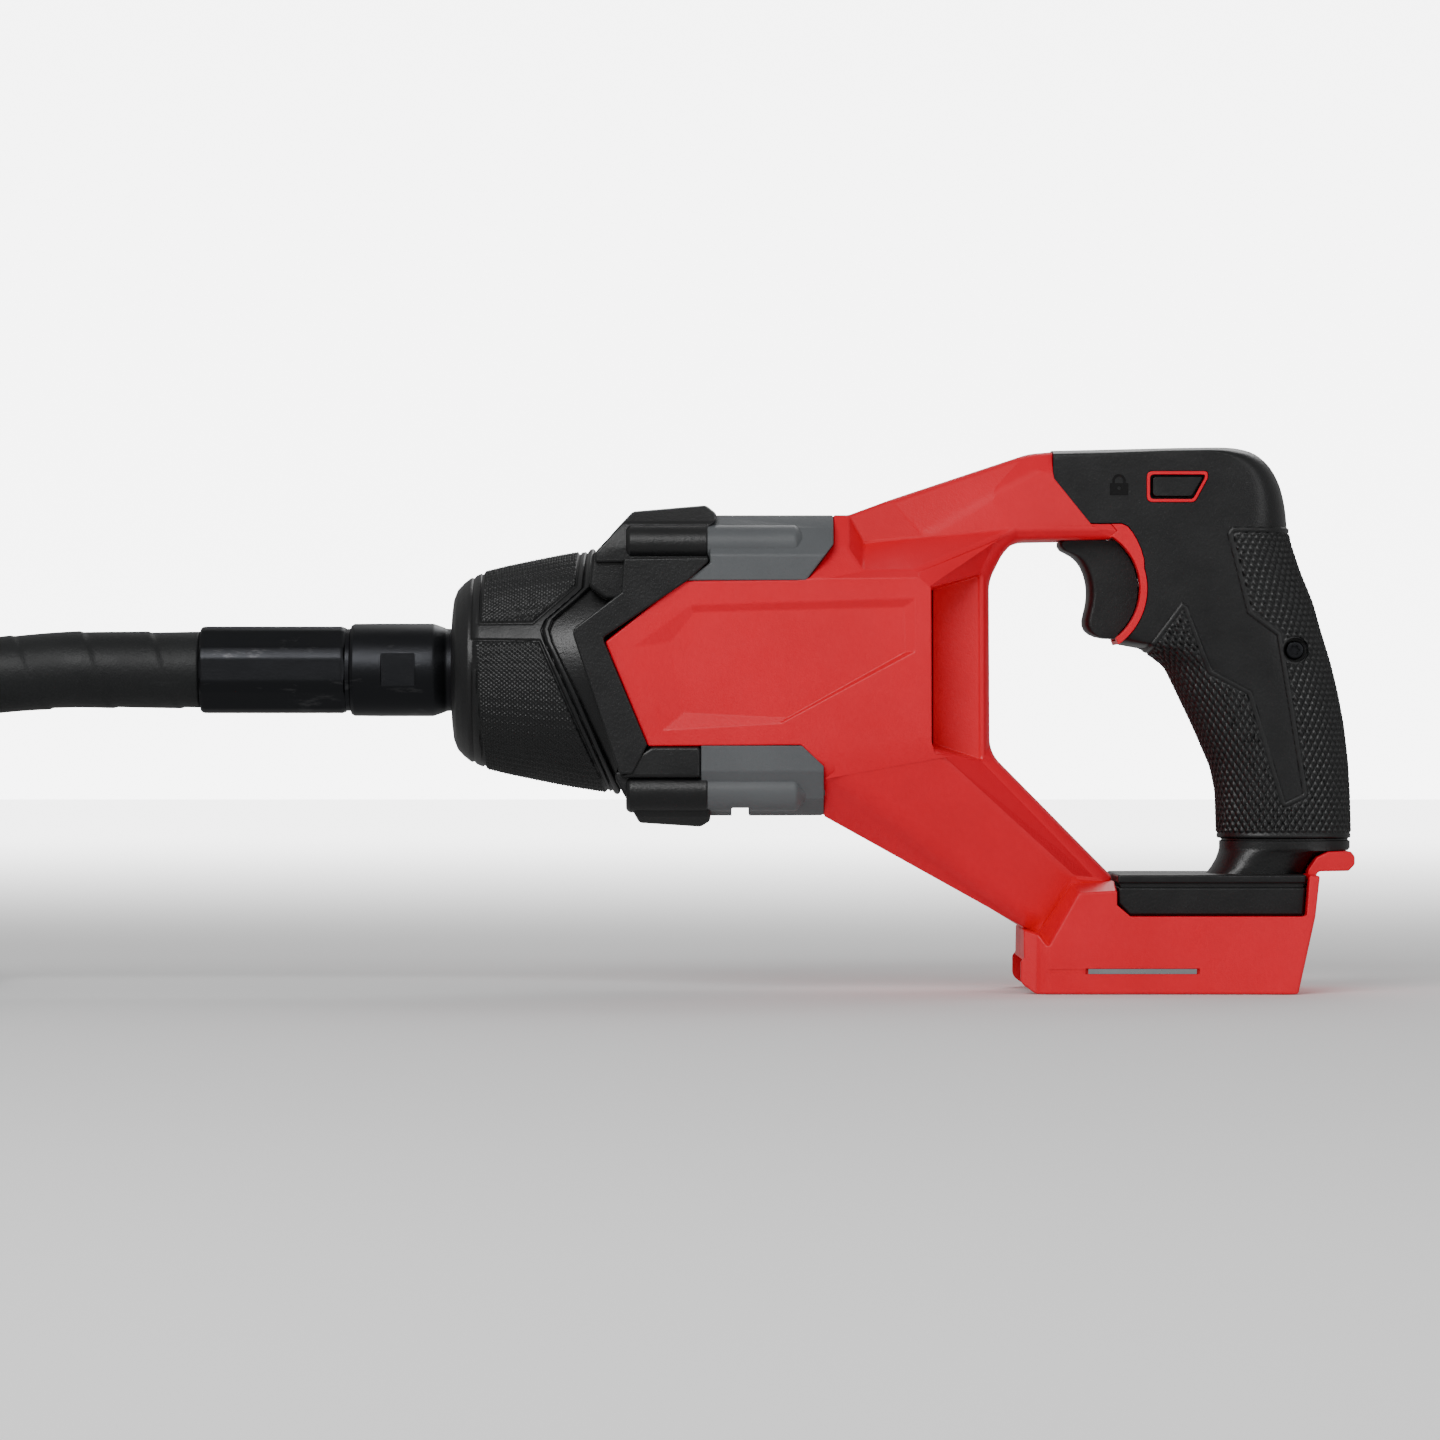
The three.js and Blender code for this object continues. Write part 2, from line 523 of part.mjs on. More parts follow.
function fan() {
  const blade = box([FAN.x0 + 1, -FAN.thickness / 2, FAN.hub - 1], [FAN.x1, FAN.thickness / 2, FAN.disc - 1]);
  const blades = Array.from({ length: FAN.blades }, (_, i) => blade.rotate([(360 * i) / FAN.blades, 0, 0]));
  const body = join(bar(FAN.x0, FAN.x1, FAN.hub), bar(FAN.x0, FAN.x0 + 2, FAN.disc, 32), blades);
  return cut(body, bar(FAN.x0 - 1, FAN.x1 + 1, SHAFT_R + GAP));
}

// ---- Hose coupling and hose ----

const COUPLING_BORE_R = 9;

function addCoupling() {
  const facets = prismX(arc(0, 0, 17.9, Math.PI / 8, (15 * Math.PI) / 8, 7), COUPLING_X, -328);
  const round = turned([
    [-263, 0], [-263, 12], [-284.2, 12], [-284.2, 16.6], [-287.4, 16.6], [-288.6, 17], [-293, 18.7],
    [-326.5, 18.7], [-329, 17], [-329, 0],
  ]);
  const flat = box([-314, -BIG, -BIG], [-300, -17.4, BIG]);
  const body = cut(join(facets, round), bar(COUPLING_X - 1, -260, COUPLING_BORE_R), flat);
  piece("hose_coupling", body, BLACK_STEEL, drive);
  piece("core_drive_end", prismX(arc(0, 0, 6, Math.PI / 4, (7 * Math.PI) / 4, 3), -380, -276.3), STEEL, drive);
}

function addHose() {
  const points = HOSE_ROUTE.map((point) => new THREE.Vector3(...point));
  const route = new THREE.CatmullRomCurve3(points, false, "centripetal");
  const sides = 12;
  const section = new THREE.Shape(
    arc(0, 0, HOSE_R, 0, 2 * Math.PI * (1 - 1 / sides), sides - 1).map(([x, y]) => new THREE.Vector2(x, y)),
  );
  piece("hose", solid(new THREE.ExtrudeGeometry(section, { steps: 24, extrudePath: route })), RUBBER);
}

// ---- Vibrating head ----

function addHead() {
  const ferruleEnd = 42;
  const tubeEnd = 252;
  const tipEnd = 276;
  const ferrule = ring(GAP, ferruleEnd, HEAD_R, 6.5, 32);
  piece("head_ferrule", ferrule, BLACK_STEEL, head);
  piece("head_tube", ring(ferruleEnd + GAP, tubeEnd, HEAD_R, HEAD_BORE_R, 32), STEEL, head);
  const nose = [[0, HEAD_R], [12, HEAD_R - 1], [20, HEAD_R - 5], [24, HEAD_R - 11]];
  const tip = turned([
    [tipEnd + GAP, 0], ...nose.map(([x, r]) => [tubeEnd + GAP + x, r]).reverse(), [tubeEnd + GAP, 0],
  ]);
  piece("head_tip", tip, STEEL, head);
  const seat = HEAD_BORE_R - GAP;
  piece("oil_seal", ring(44, 50, seat, SHAFT_R + GAP), RUBBER, head);
  piece("head_rear_bearing", ring(54, 66, seat, SHAFT_R + GAP), STEEL, head);
  piece("head_front_bearing", ring(230, 242, seat, SHAFT_R + GAP), STEEL, head);
  const halfRound = cut(bar(74, 222, 11), box([-BIG, -BIG, 0], [BIG, BIG, BIG]));
  piece("eccentric_weight", join(bar(14, 243, SHAFT_R), halfRound), STEEL, head);
  piece("core_head_end", prismX(arc(0, 0, 5.5, Math.PI / 4, (7 * Math.PI) / 4, 3), 1, 13.7), STEEL, head);
}

addClamshell();
addBatteryRail();
addHandle();
addTrigger();
addLockButton();
addFrontHousing();
addGuards();
addMotor();
addCoupling();
addHose();
addHead();

export default vibrator;
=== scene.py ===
"""Battery concrete vibrator: its outer shells, grip, nose, hose and finishes around the CAD frame.

Shapes are given in millimetres, x along the drive axis (nose at -x), z up from the foot's underside,
and d the distance from the middle plane. The left side is at -y, the right side at +y.
"""

import json
import math

import bmesh
import bpy
import numpy as np
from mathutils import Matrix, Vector


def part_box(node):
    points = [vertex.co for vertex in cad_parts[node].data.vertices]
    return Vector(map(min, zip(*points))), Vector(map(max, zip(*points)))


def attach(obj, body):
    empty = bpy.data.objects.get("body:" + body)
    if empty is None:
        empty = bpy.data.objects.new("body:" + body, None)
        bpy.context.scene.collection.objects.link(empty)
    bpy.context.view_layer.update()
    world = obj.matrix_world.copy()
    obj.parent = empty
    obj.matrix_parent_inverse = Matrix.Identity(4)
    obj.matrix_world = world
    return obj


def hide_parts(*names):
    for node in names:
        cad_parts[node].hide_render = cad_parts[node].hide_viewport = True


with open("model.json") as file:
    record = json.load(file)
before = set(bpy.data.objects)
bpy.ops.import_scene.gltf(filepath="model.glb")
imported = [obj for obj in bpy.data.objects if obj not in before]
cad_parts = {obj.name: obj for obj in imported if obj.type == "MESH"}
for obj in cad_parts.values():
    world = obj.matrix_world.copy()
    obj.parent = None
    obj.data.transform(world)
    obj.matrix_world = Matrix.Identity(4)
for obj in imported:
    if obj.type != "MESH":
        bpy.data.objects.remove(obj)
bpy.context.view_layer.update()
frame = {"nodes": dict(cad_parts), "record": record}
MM = 0.001
AXIS_Z = 129.0  # height of the motor axis
SEAM = 0.12  # half the gap between the two halves of a shell
SEAM_EDGE_R = 0.25  # edges along the seam
FLAT_TURN = math.radians(4)  # edges that turn by less stay unrounded
LEFT, RIGHT = -1, 1


# ---- Materials ----

class Nodes:
    """A small helper that adds and links shader nodes of one material."""

    def __init__(self, name):
        self.material = bpy.data.materials.new(name)
        self.material.use_nodes = True
        self.tree = self.material.node_tree
        self.shader = self.tree.nodes["Principled BSDF"]
        coordinates = self.add("ShaderNodeTexCoord")
        self.place = coordinates.outputs["Object"]

    def add(self, kind, **settings):
        node = self.tree.nodes.new(kind)
        for key, value in settings.items():
            setattr(node, key, value)
        return node

    def link(self, source, target):
        self.tree.links.new(source, target)

    def noise(self, scale, detail=2.0, roughness=0.5, stretch=None):
        node = self.add("ShaderNodeTexNoise")
        node.inputs["Scale"].default_value = scale
        node.inputs["Detail"].default_value = detail
        node.inputs["Roughness"].default_value = roughness
        where = self.place
        if stretch:
            mapping = self.add("ShaderNodeMapping")
            mapping.inputs["Scale"].default_value = stretch
            self.link(self.place, mapping.inputs["Vector"])
            where = mapping.outputs["Vector"]
        self.link(where, node.inputs["Vector"])
        return node.outputs["Fac"]

    def ramp(self, source, low, high, at=(0.3, 0.7)):
        node = self.add("ShaderNodeValToRGB")
        for element, position, value in zip(node.color_ramp.elements, at, (low, high)):
            element.position = position
            element.color = (*value, 1) if isinstance(value, tuple) else (value, value, value, 1)
        self.link(source, node.inputs["Fac"])
        return node.outputs["Color"]

    def bump(self, *layers):
        """Stacks (height, strength, distance) layers into the shader's normal."""
        normal = None
        for height, strength, distance in layers:
            node = self.add("ShaderNodeBump")
            node.inputs["Strength"].default_value = strength
            node.inputs["Distance"].default_value = distance
            self.link(height, node.inputs["Height"])
            if normal:
                self.link(normal, node.inputs["Normal"])
            normal = node.outputs["Normal"]
        self.link(normal, self.shader.inputs["Normal"])

    def mix(self, factor, low, high):
        node = self.add("ShaderNodeMix", data_type="RGBA")
        self.link(factor, node.inputs["Factor"])
        for socket, value in ((node.inputs[6], low), (node.inputs[7], high)):
            if isinstance(value, tuple):
                socket.default_value = (*value, 1)
            else:
                self.link(value, socket)
        return node.outputs[2]


def moulded(name, color, tint, roughness, grain=2600.0, grain_depth=0.25, scuffs=0.0, specular=0.35):
    """Moulded plastic or rubber: fine spark-eroded grain, faint cloudy tint and dull scuffs."""
    nodes = Nodes(name)
    cloud = nodes.noise(28.0, 3.0)
    base = nodes.ramp(cloud, tint, color, (0.35, 0.65))
    fine = nodes.noise(grain, 1.0, 0.6)
    coarse = nodes.noise(grain * 0.36, 2.0, 0.6)
    rough = nodes.ramp(nodes.noise(90.0, 4.0), roughness - 0.04, roughness + 0.05)
    if scuffs:
        scratch = nodes.ramp(nodes.noise(60.0, 6.0, 0.7, (0.6, 1.0, 3.2)), 0.0, scuffs, (0.62, 0.8))
        base = nodes.mix(scratch, base, tuple(min(1.0, 2.6 * c + 0.05) for c in color))
    nodes.link(base, nodes.shader.inputs["Base Color"])
    nodes.link(rough, nodes.shader.inputs["Roughness"])
    nodes.shader.inputs["Specular IOR Level"].default_value = specular
    nodes.bump((coarse, grain_depth * 0.7, 0.0004), (fine, grain_depth, 0.0002))
    return nodes.material


def metal(name, color, worn, roughness, wear=(0.62, 0.74), stretch=(1.0, 1.0, 1.0), metallic=1.0):
    """Machined or treated metal: directional tool marks and paler worn patches."""
    nodes = Nodes(name)
    patches = nodes.noise(55.0, 8.0, 0.65, stretch)
    amount = nodes.ramp(patches, 0.0, 1.0, wear)
    nodes.link(nodes.mix(amount, color, worn), nodes.shader.inputs["Base Color"])
    nodes.link(nodes.ramp(patches, roughness + 0.06, roughness - 0.06), nodes.shader.inputs["Roughness"])
    nodes.shader.inputs["Metallic"].default_value = metallic
    marks = nodes.noise(420.0, 3.0, 0.6, tuple(8.0 * s if s > 1 else s for s in stretch))
    nodes.bump((marks, 0.12, 0.0003), (nodes.noise(1500.0, 1.0), 0.08, 0.0002))
    return nodes.material


RED = moulded("red_plastic", (0.80, 0.002, 0.020), (0.74, 0.002, 0.017), 0.38)
BLACK = moulded("black_plastic", (0.0070, 0.0073, 0.0078), (0.0055, 0.0058, 0.0062), 0.34, 2100.0, 0.35,
                0.05, 0.5)
GREY = moulded("grey_plastic", (0.105, 0.112, 0.117), (0.095, 0.101, 0.106), 0.42, 2300.0, 0.3, 0.03)
RUBBER = moulded("grip_rubber", (0.0075, 0.0079, 0.0083), (0.0060, 0.0063, 0.0067), 0.40, 1800.0, 0.3,
                 0.04, 0.5)
HOSE = moulded("hose_rubber", (0.0105, 0.0115, 0.0120), (0.007, 0.0078, 0.0082), 0.50, 1500.0, 0.45, 0.22)
GUNMETAL = metal("black_steel", (0.030, 0.031, 0.034), (0.16, 0.16, 0.165), 0.36, (0.60, 0.86),
                 (0.7, 1.0, 2.6))
STEEL = metal("turned_steel", (0.42, 0.43, 0.44), (0.60, 0.61, 0.62), 0.27, (0.3, 0.7), (1.0, 4.0, 1.0))
LAMINATION = metal("lamination_steel", (0.16, 0.165, 0.17), (0.25, 0.25, 0.26), 0.42, (0.3, 0.7),
                   (9.0, 1.0, 1.0))
ALUMINIUM = metal("cast_aluminium", (0.52, 0.53, 0.54), (0.63, 0.64, 0.65), 0.44)
COPPER = metal("copper_wire", (0.55, 0.23, 0.10), (0.66, 0.30, 0.15), 0.34)
BRASS = metal("brass", (0.66, 0.47, 0.19), (0.76, 0.56, 0.25), 0.28)
BOARD = moulded("circuit_board", (0.018, 0.055, 0.033), (0.015, 0.045, 0.028), 0.5)
ICON = moulded("icon_ink", (0.0045, 0.0045, 0.0048), (0.004, 0.004, 0.0042), 0.55, specular=0.2)

SLOT_MATERIALS = {
    "red_plastic": RED, "black_plastic": BLACK, "grey_plastic": GREY, "grip_rubber": RUBBER,
    "hose_rubber": HOSE, "black_steel": GUNMETAL, "steel": STEEL, "lamination_steel": LAMINATION,
    "aluminium": ALUMINIUM, "copper": COPPER, "brass": BRASS, "circuit_board": BOARD,
}


# ---- Mesh helpers ----

def new_object(name, vertices, faces, material, smooth=True):
    """A mesh object from millimetre points; its normals are made to point out."""
    mesh = bpy.data.meshes.new(name)
    mesh.from_pydata([tuple(MM * c for c in v) for v in vertices], [], [tuple(f) for f in faces])
    mesh.materials.append(material)
    work = bmesh.new()
    work.from_mesh(mesh)
    bmesh.ops.recalc_face_normals(work, faces=work.faces)
    work.to_mesh(mesh)
    work.free()
    if smooth:
        mesh.shade_smooth()
    obj = bpy.data.objects.new(name, mesh)
    bpy.context.scene.collection.objects.link(obj)
    return obj


def applied(obj):
    """Turns the object's modifiers into its mesh."""
    bpy.context.view_layer.update()
    shape = obj.evaluated_get(bpy.context.evaluated_depsgraph_get())
    mesh = bpy.data.meshes.new_from_object(shape)
    obj.modifiers.clear()
    old = obj.data
    obj.data = mesh
    mesh.name = obj.name
    bpy.data.meshes.remove(old)
    return obj


def carved(obj, *cutters, operation="DIFFERENCE", solver="EXACT"):
    """Cuts the object with the cutters, joins them or keeps what they share, and removes them."""
    for cutter in cutters:
        step = obj.modifiers.new("step", "BOOLEAN")
        step.object = cutter
        step.operation = operation
        step.solver = solver
        applied(obj)
        mesh = cutter.data
        bpy.data.objects.remove(cutter)
        bpy.data.meshes.remove(mesh)
    return obj


def bevelled(obj, width, segments=4, angle=25.0):
    """Rounds every edge that turns by more than the angle."""
    step = obj.modifiers.new("bevel", "BEVEL")
    step.width = width * MM
    step.segments = segments
    step.limit_method = "ANGLE"
    step.angle_limit = math.radians(angle)
    step.use_clamp_overlap = True
    return applied(obj)


def crisp(obj, angle=32.0):
    """Keeps creases over the angle sharp and shades flat areas flat."""
    obj.data.shade_smooth()
    obj.data.set_sharp_from_angle(angle=math.radians(angle))
    step = obj.modifiers.new("normals", "WEIGHTED_NORMAL")
    step.keep_sharp = True
    step.weight = 60
    return obj


def placed(obj, name, slot, *nodes, body="tool", crease=32.0):
    """Names and shades a finished piece, ties it to its body and hides the CAD nodes it stands for."""
    obj.name = obj.data.name = name
    crisp(obj, crease)
    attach(obj, body)
    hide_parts(*nodes)
    return obj


def mirrored(obj):
    """Moves the object to the other side of the middle plane."""
    for vertex in obj.data.vertices:
        vertex.co.y = -vertex.co.y
    obj.data.flip_normals()
    return obj


def prism(name, outline, low, high, material, bevel=0.0, axis="y", segments=4, angle=25.0):
    """An outline pushed along y (points are x, z) or along x (points are y, z)."""
    count = len(outline)
    if axis == "y":
        rings = [[(a, depth, b) for a, b in outline] for depth in (low, high)]
    else:
        rings = [[(depth, a, b) for a, b in outline] for depth in (low, high)]
    faces = [range(count), range(2 * count - 1, count - 1, -1)]
    faces += [(i, (i + 1) % count, count + (i + 1) % count, count + i) for i in range(count)]
    obj = new_object(name, rings[0] + rings[1], faces, material, smooth=False)
    return bevelled(obj, bevel, segments, angle) if bevel else obj


def block(name, low, high, material, bevel=0.0):
    (x0, y0, z0), (x1, y1, z1) = low, high
    return prism(name, [(x0, z0), (x1, z0), (x1, z1), (x0, z1)], y0, y1, material, bevel)


def lathe(name, profile, material, centre=(0.0, AXIS_Z), segments=96, axis="x", closed=False):
    """Turns a profile of (along, radius) points about a line parallel to x or y."""
    rings = []
    for along, radius in profile:
        ring = []
        for k in range(segments):
            turn = 2 * math.pi * k / segments
            a, b = centre[0] + radius * math.cos(turn), centre[1] + radius * math.sin(turn)
            ring.append((along, a, b) if axis == "x" else (a, along, b))
        rings.append(ring)
    return loft(name, rings, material, caps=not closed, loop=closed)


def loft(name, rings, material, caps=True, loop=False):
    """Skins rings of equal length."""
    count = len(rings[0])
    vertices = [v for ring in rings for v in ring]
    faces = []
    last = len(rings) if loop else len(rings) - 1
    for r in range(last):
        start, after = r * count, ((r + 1) % len(rings)) * count
        faces += [(start + i, start + (i + 1) % count, after + (i + 1) % count, after + i)
                  for i in range(count)]
    if caps:
        faces += [range(count), range(len(vertices) - 1, len(vertices) - count - 1, -1)]
    return new_object(name, vertices, faces, material)


def arc(x, z, radius, start, end, steps):
    """Points on a circle, angles in degrees from +x towards +z."""
    turns = [math.radians(start + (end - start) * i / steps) for i in range(steps + 1)]
    return [(x + radius * math.cos(t), z + radius * math.sin(t)) for t in turns]


def rounded(outline, radius, steps=5):
    """The outline with its corners filleted."""
    result = []
    for before, corner, after in zip(outline[-1:] + outline[:-1], outline, outline[1:] + outline[:1]):
        a, b = Vector(before) - Vector(corner), Vector(after) - Vector(corner)
        half = a.angle(b) / 2
        reach = min(radius / math.tan(half), 0.48 * a.length, 0.48 * b.length)
        start, end = Vector(corner) + reach * a.normalized(), Vector(corner) + reach * b.normalized()
        for k in range(steps + 1):
            t = k / steps
            point = start * (1 - t) ** 2 + Vector(corner) * 2 * t * (1 - t) + end * t * t
            result.append(tuple(point))
    return result


def facet_half(name, points, faces, rim, soft, material, default=0.9, segments=4):
    """One half of a faceted shell as a closed solid, on the left side.

    points: name -> (x, z, d). faces: strings of point names. rim: the names around the outside, whose
    edge is carried in to the middle plane. soft: edge radius -> the edges "a b" that have it; "a" alone
    is the edge that runs in from rim point a.
    """
    names = list(points)
    index = {n: i for i, n in enumerate(names)}
    rim = rim.split()
    vertices = [(x, -d, z) for x, z, d in points.values()]
    inner = {n: len(vertices) + i for i, n in enumerate(rim)}
    vertices += [(points[n][0], -SEAM, points[n][1]) for n in rim]
    polygons = [[index[n] for n in face.split()] for face in faces]
    for a, b in zip(rim, rim[1:] + rim[:1]):
        polygons.append([index[a], index[b], inner[b], inner[a]])
    polygons.append([inner[n] for n in rim])
    obj = new_object(name, vertices, polygons, material, smooth=False)
    mesh = obj.data
    radii = {}
    for radius, edges in soft.items():
        for ends in (edge.split() for edge in edges.split(", ")):
            pair = (index[ends[0]], inner[ends[0]] if len(ends) == 1 else index[ends[1]])
            radii[frozenset(pair)] = radius
    top = max(default, *radii.values())
    middle = set(inner.values())
    work = bmesh.new()
    work.from_mesh(mesh)
    weights = work.edges.layers.float.new("bevel_weight_edge")
    for edge in work.edges:
        pair = frozenset(v.index for v in edge.verts)
        flat = abs(edge.calc_face_angle(0.0)) < FLAT_TURN
        radius = SEAM_EDGE_R if pair <= middle else radii.get(pair, 0.0 if flat else default)
        edge[weights] = radius / top
    work.to_mesh(mesh)
    work.free()
    step = obj.modifiers.new("bevel", "BEVEL")
    step.width = top * MM
    step.segments = segments
    step.limit_method = "WEIGHT"
    step.use_clamp_overlap = False
    return applied(obj)


# ---- Camera, light and floor ----

VIEW_CENTRE = (-178.0, 108.8)  # x, z that the camera looks at
VIEW_WIDTH = 576.0
CAMERA_DISTANCE = 2500.0
SENSOR = 36.0
BACKDROP_GLOW = 4.5
GLOW_RAMP = (0.4, 3.5)  # metres behind the object where the floor starts and ends getting brighter
PAPER = (0.93, 0.93, 0.93, 1)
WHITE = (1, 1, 1, 1)


def area_light(name, place, target, size, power, size_y=None):
    light = bpy.data.lights.new(name, "AREA")
    light.energy = power
    light.size = size
    if size_y:
        light.shape = "RECTANGLE"
        light.size_y = size_y
    obj = bpy.data.objects.new(name, light)
    obj.location = place
    obj.rotation_euler = (Vector(target) - Vector(place)).to_track_quat("-Z", "Y").to_euler()
    bpy.context.scene.collection.objects.link(obj)


def make_stage():
    camera = bpy.data.cameras.new("camera")
    camera.sensor_width = SENSOR
    camera.lens = SENSOR * (CAMERA_DISTANCE - 20.0) / VIEW_WIDTH
    camera.clip_end = 50.0
    obj = bpy.data.objects.new("camera", camera)
    obj.location = (VIEW_CENTRE[0] * MM, -CAMERA_DISTANCE * MM, VIEW_CENTRE[1] * MM)
    obj.rotation_euler = (math.pi / 2, 0, 0)
    bpy.context.scene.collection.objects.link(obj)
    bpy.context.scene.camera = obj

    paper = Nodes("studio_paper")
    paper.shader.inputs["Base Color"].default_value = PAPER
    paper.shader.inputs["Roughness"].default_value = 0.9
    paper.shader.inputs["Specular IOR Level"].default_value = 0.1
    floor = new_object("floor", [(-9000, -9000, -0.2), (9000, -9000, -0.2), (9000, 9000, -0.2),
                                 (-9000, 9000, -0.2)], [(0, 1, 2, 3)], paper.material)
    axes = paper.add("ShaderNodeSeparateXYZ")
    paper.link(paper.place, axes.inputs[0])
    glow = paper.add("ShaderNodeMapRange", interpolation_type="SMOOTHSTEP")
    glow.inputs["From Min"].default_value, glow.inputs["From Max"].default_value = GLOW_RAMP
    glow.inputs["To Max"].default_value = BACKDROP_GLOW
    paper.link(axes.outputs["Y"], glow.inputs["Value"])
    paper.shader.inputs["Emission Color"].default_value = WHITE
    paper.link(glow.outputs["Result"], paper.shader.inputs["Emission Strength"])
    screen = Nodes("studio_screen")
    screen.shader.inputs["Base Color"].default_value = PAPER
    screen.shader.inputs["Emission Color"].default_value = WHITE
    screen.shader.inputs["Emission Strength"].default_value = BACKDROP_GLOW
    backdrop = new_object("backdrop", [(-3000, 6000, -100), (3000, 6000, -100), (3000, 6000, 3000),
                                       (-3000, 6000, 3000)], [(0, 1, 2, 3)], screen.material)
    floor.visible_glossy = False
    backdrop.visible_glossy = False
    backdrop.visible_diffuse = False

    world = bpy.data.worlds.new("studio")
    bpy.context.scene.world = world
    world.use_nodes = True
    background = world.node_tree.nodes["Background"]
    background.inputs["Color"].default_value = WHITE
    background.inputs["Strength"].default_value = 0.36
    middle = (-0.16, 0.0, 0.12)
    area_light("key", (-0.9, -1.9, 1.3), middle, 1.3, 30.0, 0.9)
    area_light("fill", (1.3, -1.7, 0.6), middle, 1.2, 6.0)
    area_light("rim", (0.2, 1.2, 1.2), middle, 1.0, 8.0)


# ---- Hose, ferrule and coupling ----

HOSE_R = 15.5
HOSE_ROUTE = [
    (-387.3, 0, 129), (-412, 0, 129), (-440, 0, 129), (-467, 0, 127), (-496, 0, 122.5), (-524, 0, 114),
    (-551, 0, 102.5), (-577, 0, 88.5), (-602.5, 0, 73), (-630, -0.5, 57.5), (-658, -3, 43.5),
    (-687, -11.5, 32), (-715.5, -27, 23.5), (-741, -48.5, 18.5), (-761, -74.5, 16.5), (-775, -105, 16),
    (-781.5, -138, 16), (-780.5, -172, 16), (-771, -204.5, 16), (-754, -234.5, 16), (-731, -260, 16),
    (-703, -280, 16), (-671.5, -293.5, 16), (-637, -299.5, 16), (-603, -296, 16), (-571.5, -285, 16),
    (-544, -266, 16), (-523, -240.5, 16), (-509.5, -210, 16), (-504, -190, 16), (-504, -172, 16),
]
WRAP_PITCH = 27.0  # the rubber is wound on in a spiral band
WRAP_STEP = 0.55
RING_STEP = 1.1
HOSE_SIDES = 72


def smooth_route(points, step):
    """Evenly spaced points on the centripetal Catmull-Rom curve through the points."""
    given = [Vector(p) for p in points]
    given = [2 * given[0] - given[1], *given, 2 * given[-1] - given[-2]]
    dense = []
    for a, b, c, d in zip(given, given[1:], given[2:], given[3:]):
        t1 = (b - a).length ** 0.5
        t2 = t1 + (c - b).length ** 0.5
        t3 = t2 + (d - c).length ** 0.5
        for i in range(24):
            t = t1 + (t2 - t1) * i / 24
            a1 = a * (t1 - t) / t1 + b * t / t1
            a2 = b * (t2 - t) / (t2 - t1) + c * (t - t1) / (t2 - t1)
            a3 = c * (t3 - t) / (t3 - t2) + d * (t - t2) / (t3 - t2)
            b1 = a1 * (t2 - t) / t2 + a2 * t / t2
            b2 = a2 * (t3 - t) / (t3 - t1) + a3 * (t - t1) / (t3 - t1)
            dense.append(b1 * (t2 - t) / (t2 - t1) + b2 * (t - t1) / (t2 - t1))
    dense.append(given[-2])
    lengths = np.cumsum([0.0] + [(b - a).length for a, b in zip(dense, dense[1:])])
    marks = np.linspace(0.0, lengths[-1], int(lengths[-1] / step) + 1)
    table = np.array([tuple(p) for p in dense])
    return np.stack([np.interp(marks, lengths, table[:, k]) for k in range(3)], 1), float(lengths[-1])


def wrap_radius(along, turn):
    """The hose's radius: a spiral band whose leading edge overlaps the turn before it."""
    phase = (along / WRAP_PITCH - turn / (2 * math.pi)) % 1.0
    rise = min(phase / 0.045, 1.0)
    rise = rise * rise * (3 - 2 * rise)
    return HOSE_R - 0.45 + WRAP_STEP * rise * (1.0 - 0.9 * phase)


def make_hose():
    path, length = smooth_route(HOSE_ROUTE, RING_STEP)
    tangents = np.gradient(path, axis=0)
    side = np.array([0.0, 1.0, 0.0])
    rings = []
    for k, (point, tangent) in enumerate(zip(path, tangents)):
        tangent = tangent / np.linalg.norm(tangent)
        side = side - tangent * side.dot(tangent)
        side /= np.linalg.norm(side)
        up = np.cross(tangent, side)
        ring = []
        for s in range(HOSE_SIDES):
            turn = 2 * math.pi * s / HOSE_SIDES
            radius = wrap_radius(k * length / (len(path) - 1), turn)
            ring.append(tuple(point + radius * (math.cos(turn) * side + math.sin(turn) * up)))
        rings.append(ring)
    hose = loft("rubber_hose", rings, HOSE)
    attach(hose, "tool")
    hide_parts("hose")
    return hose, path, length


FERRULE_PROFILE = [
    (-172.6, 15.3), (-172.6, 15.6), (-172.0, 15.85), (-168.0, 15.95), (-150.0, 15.95), (-149.3, 15.6),
    (-148.9, 14.9), (-147.1, 14.9), (-146.7, 15.6), (-146.0, 15.95), (-133.5, 15.95), (-132.0, 15.6),
    (-130.0, 14.6), (-130.0, 12.0), (-172.6, 12.0),
]
HEAD_PLACE = (-504.0, 16.0)


def make_ferrule():
    """The threaded collar between the hose and the steel head, with two wrench flats."""
    ferrule = lathe("head_collar", FERRULE_PROFILE, GUNMETAL, HEAD_PLACE, 96, "y", closed=True)
    x, z = HEAD_PLACE
    for side in (LEFT, RIGHT):
        low, high = sorted((x + side * 14.6, x + side * 22.0))
        ferrule = carved(ferrule, block("flat", (low, -146.0, z - 30),
                         (high, -134.5, z + 30), GUNMETAL, 0.4))
    return placed(ferrule, "head_collar", "black_steel", "head_ferrule")


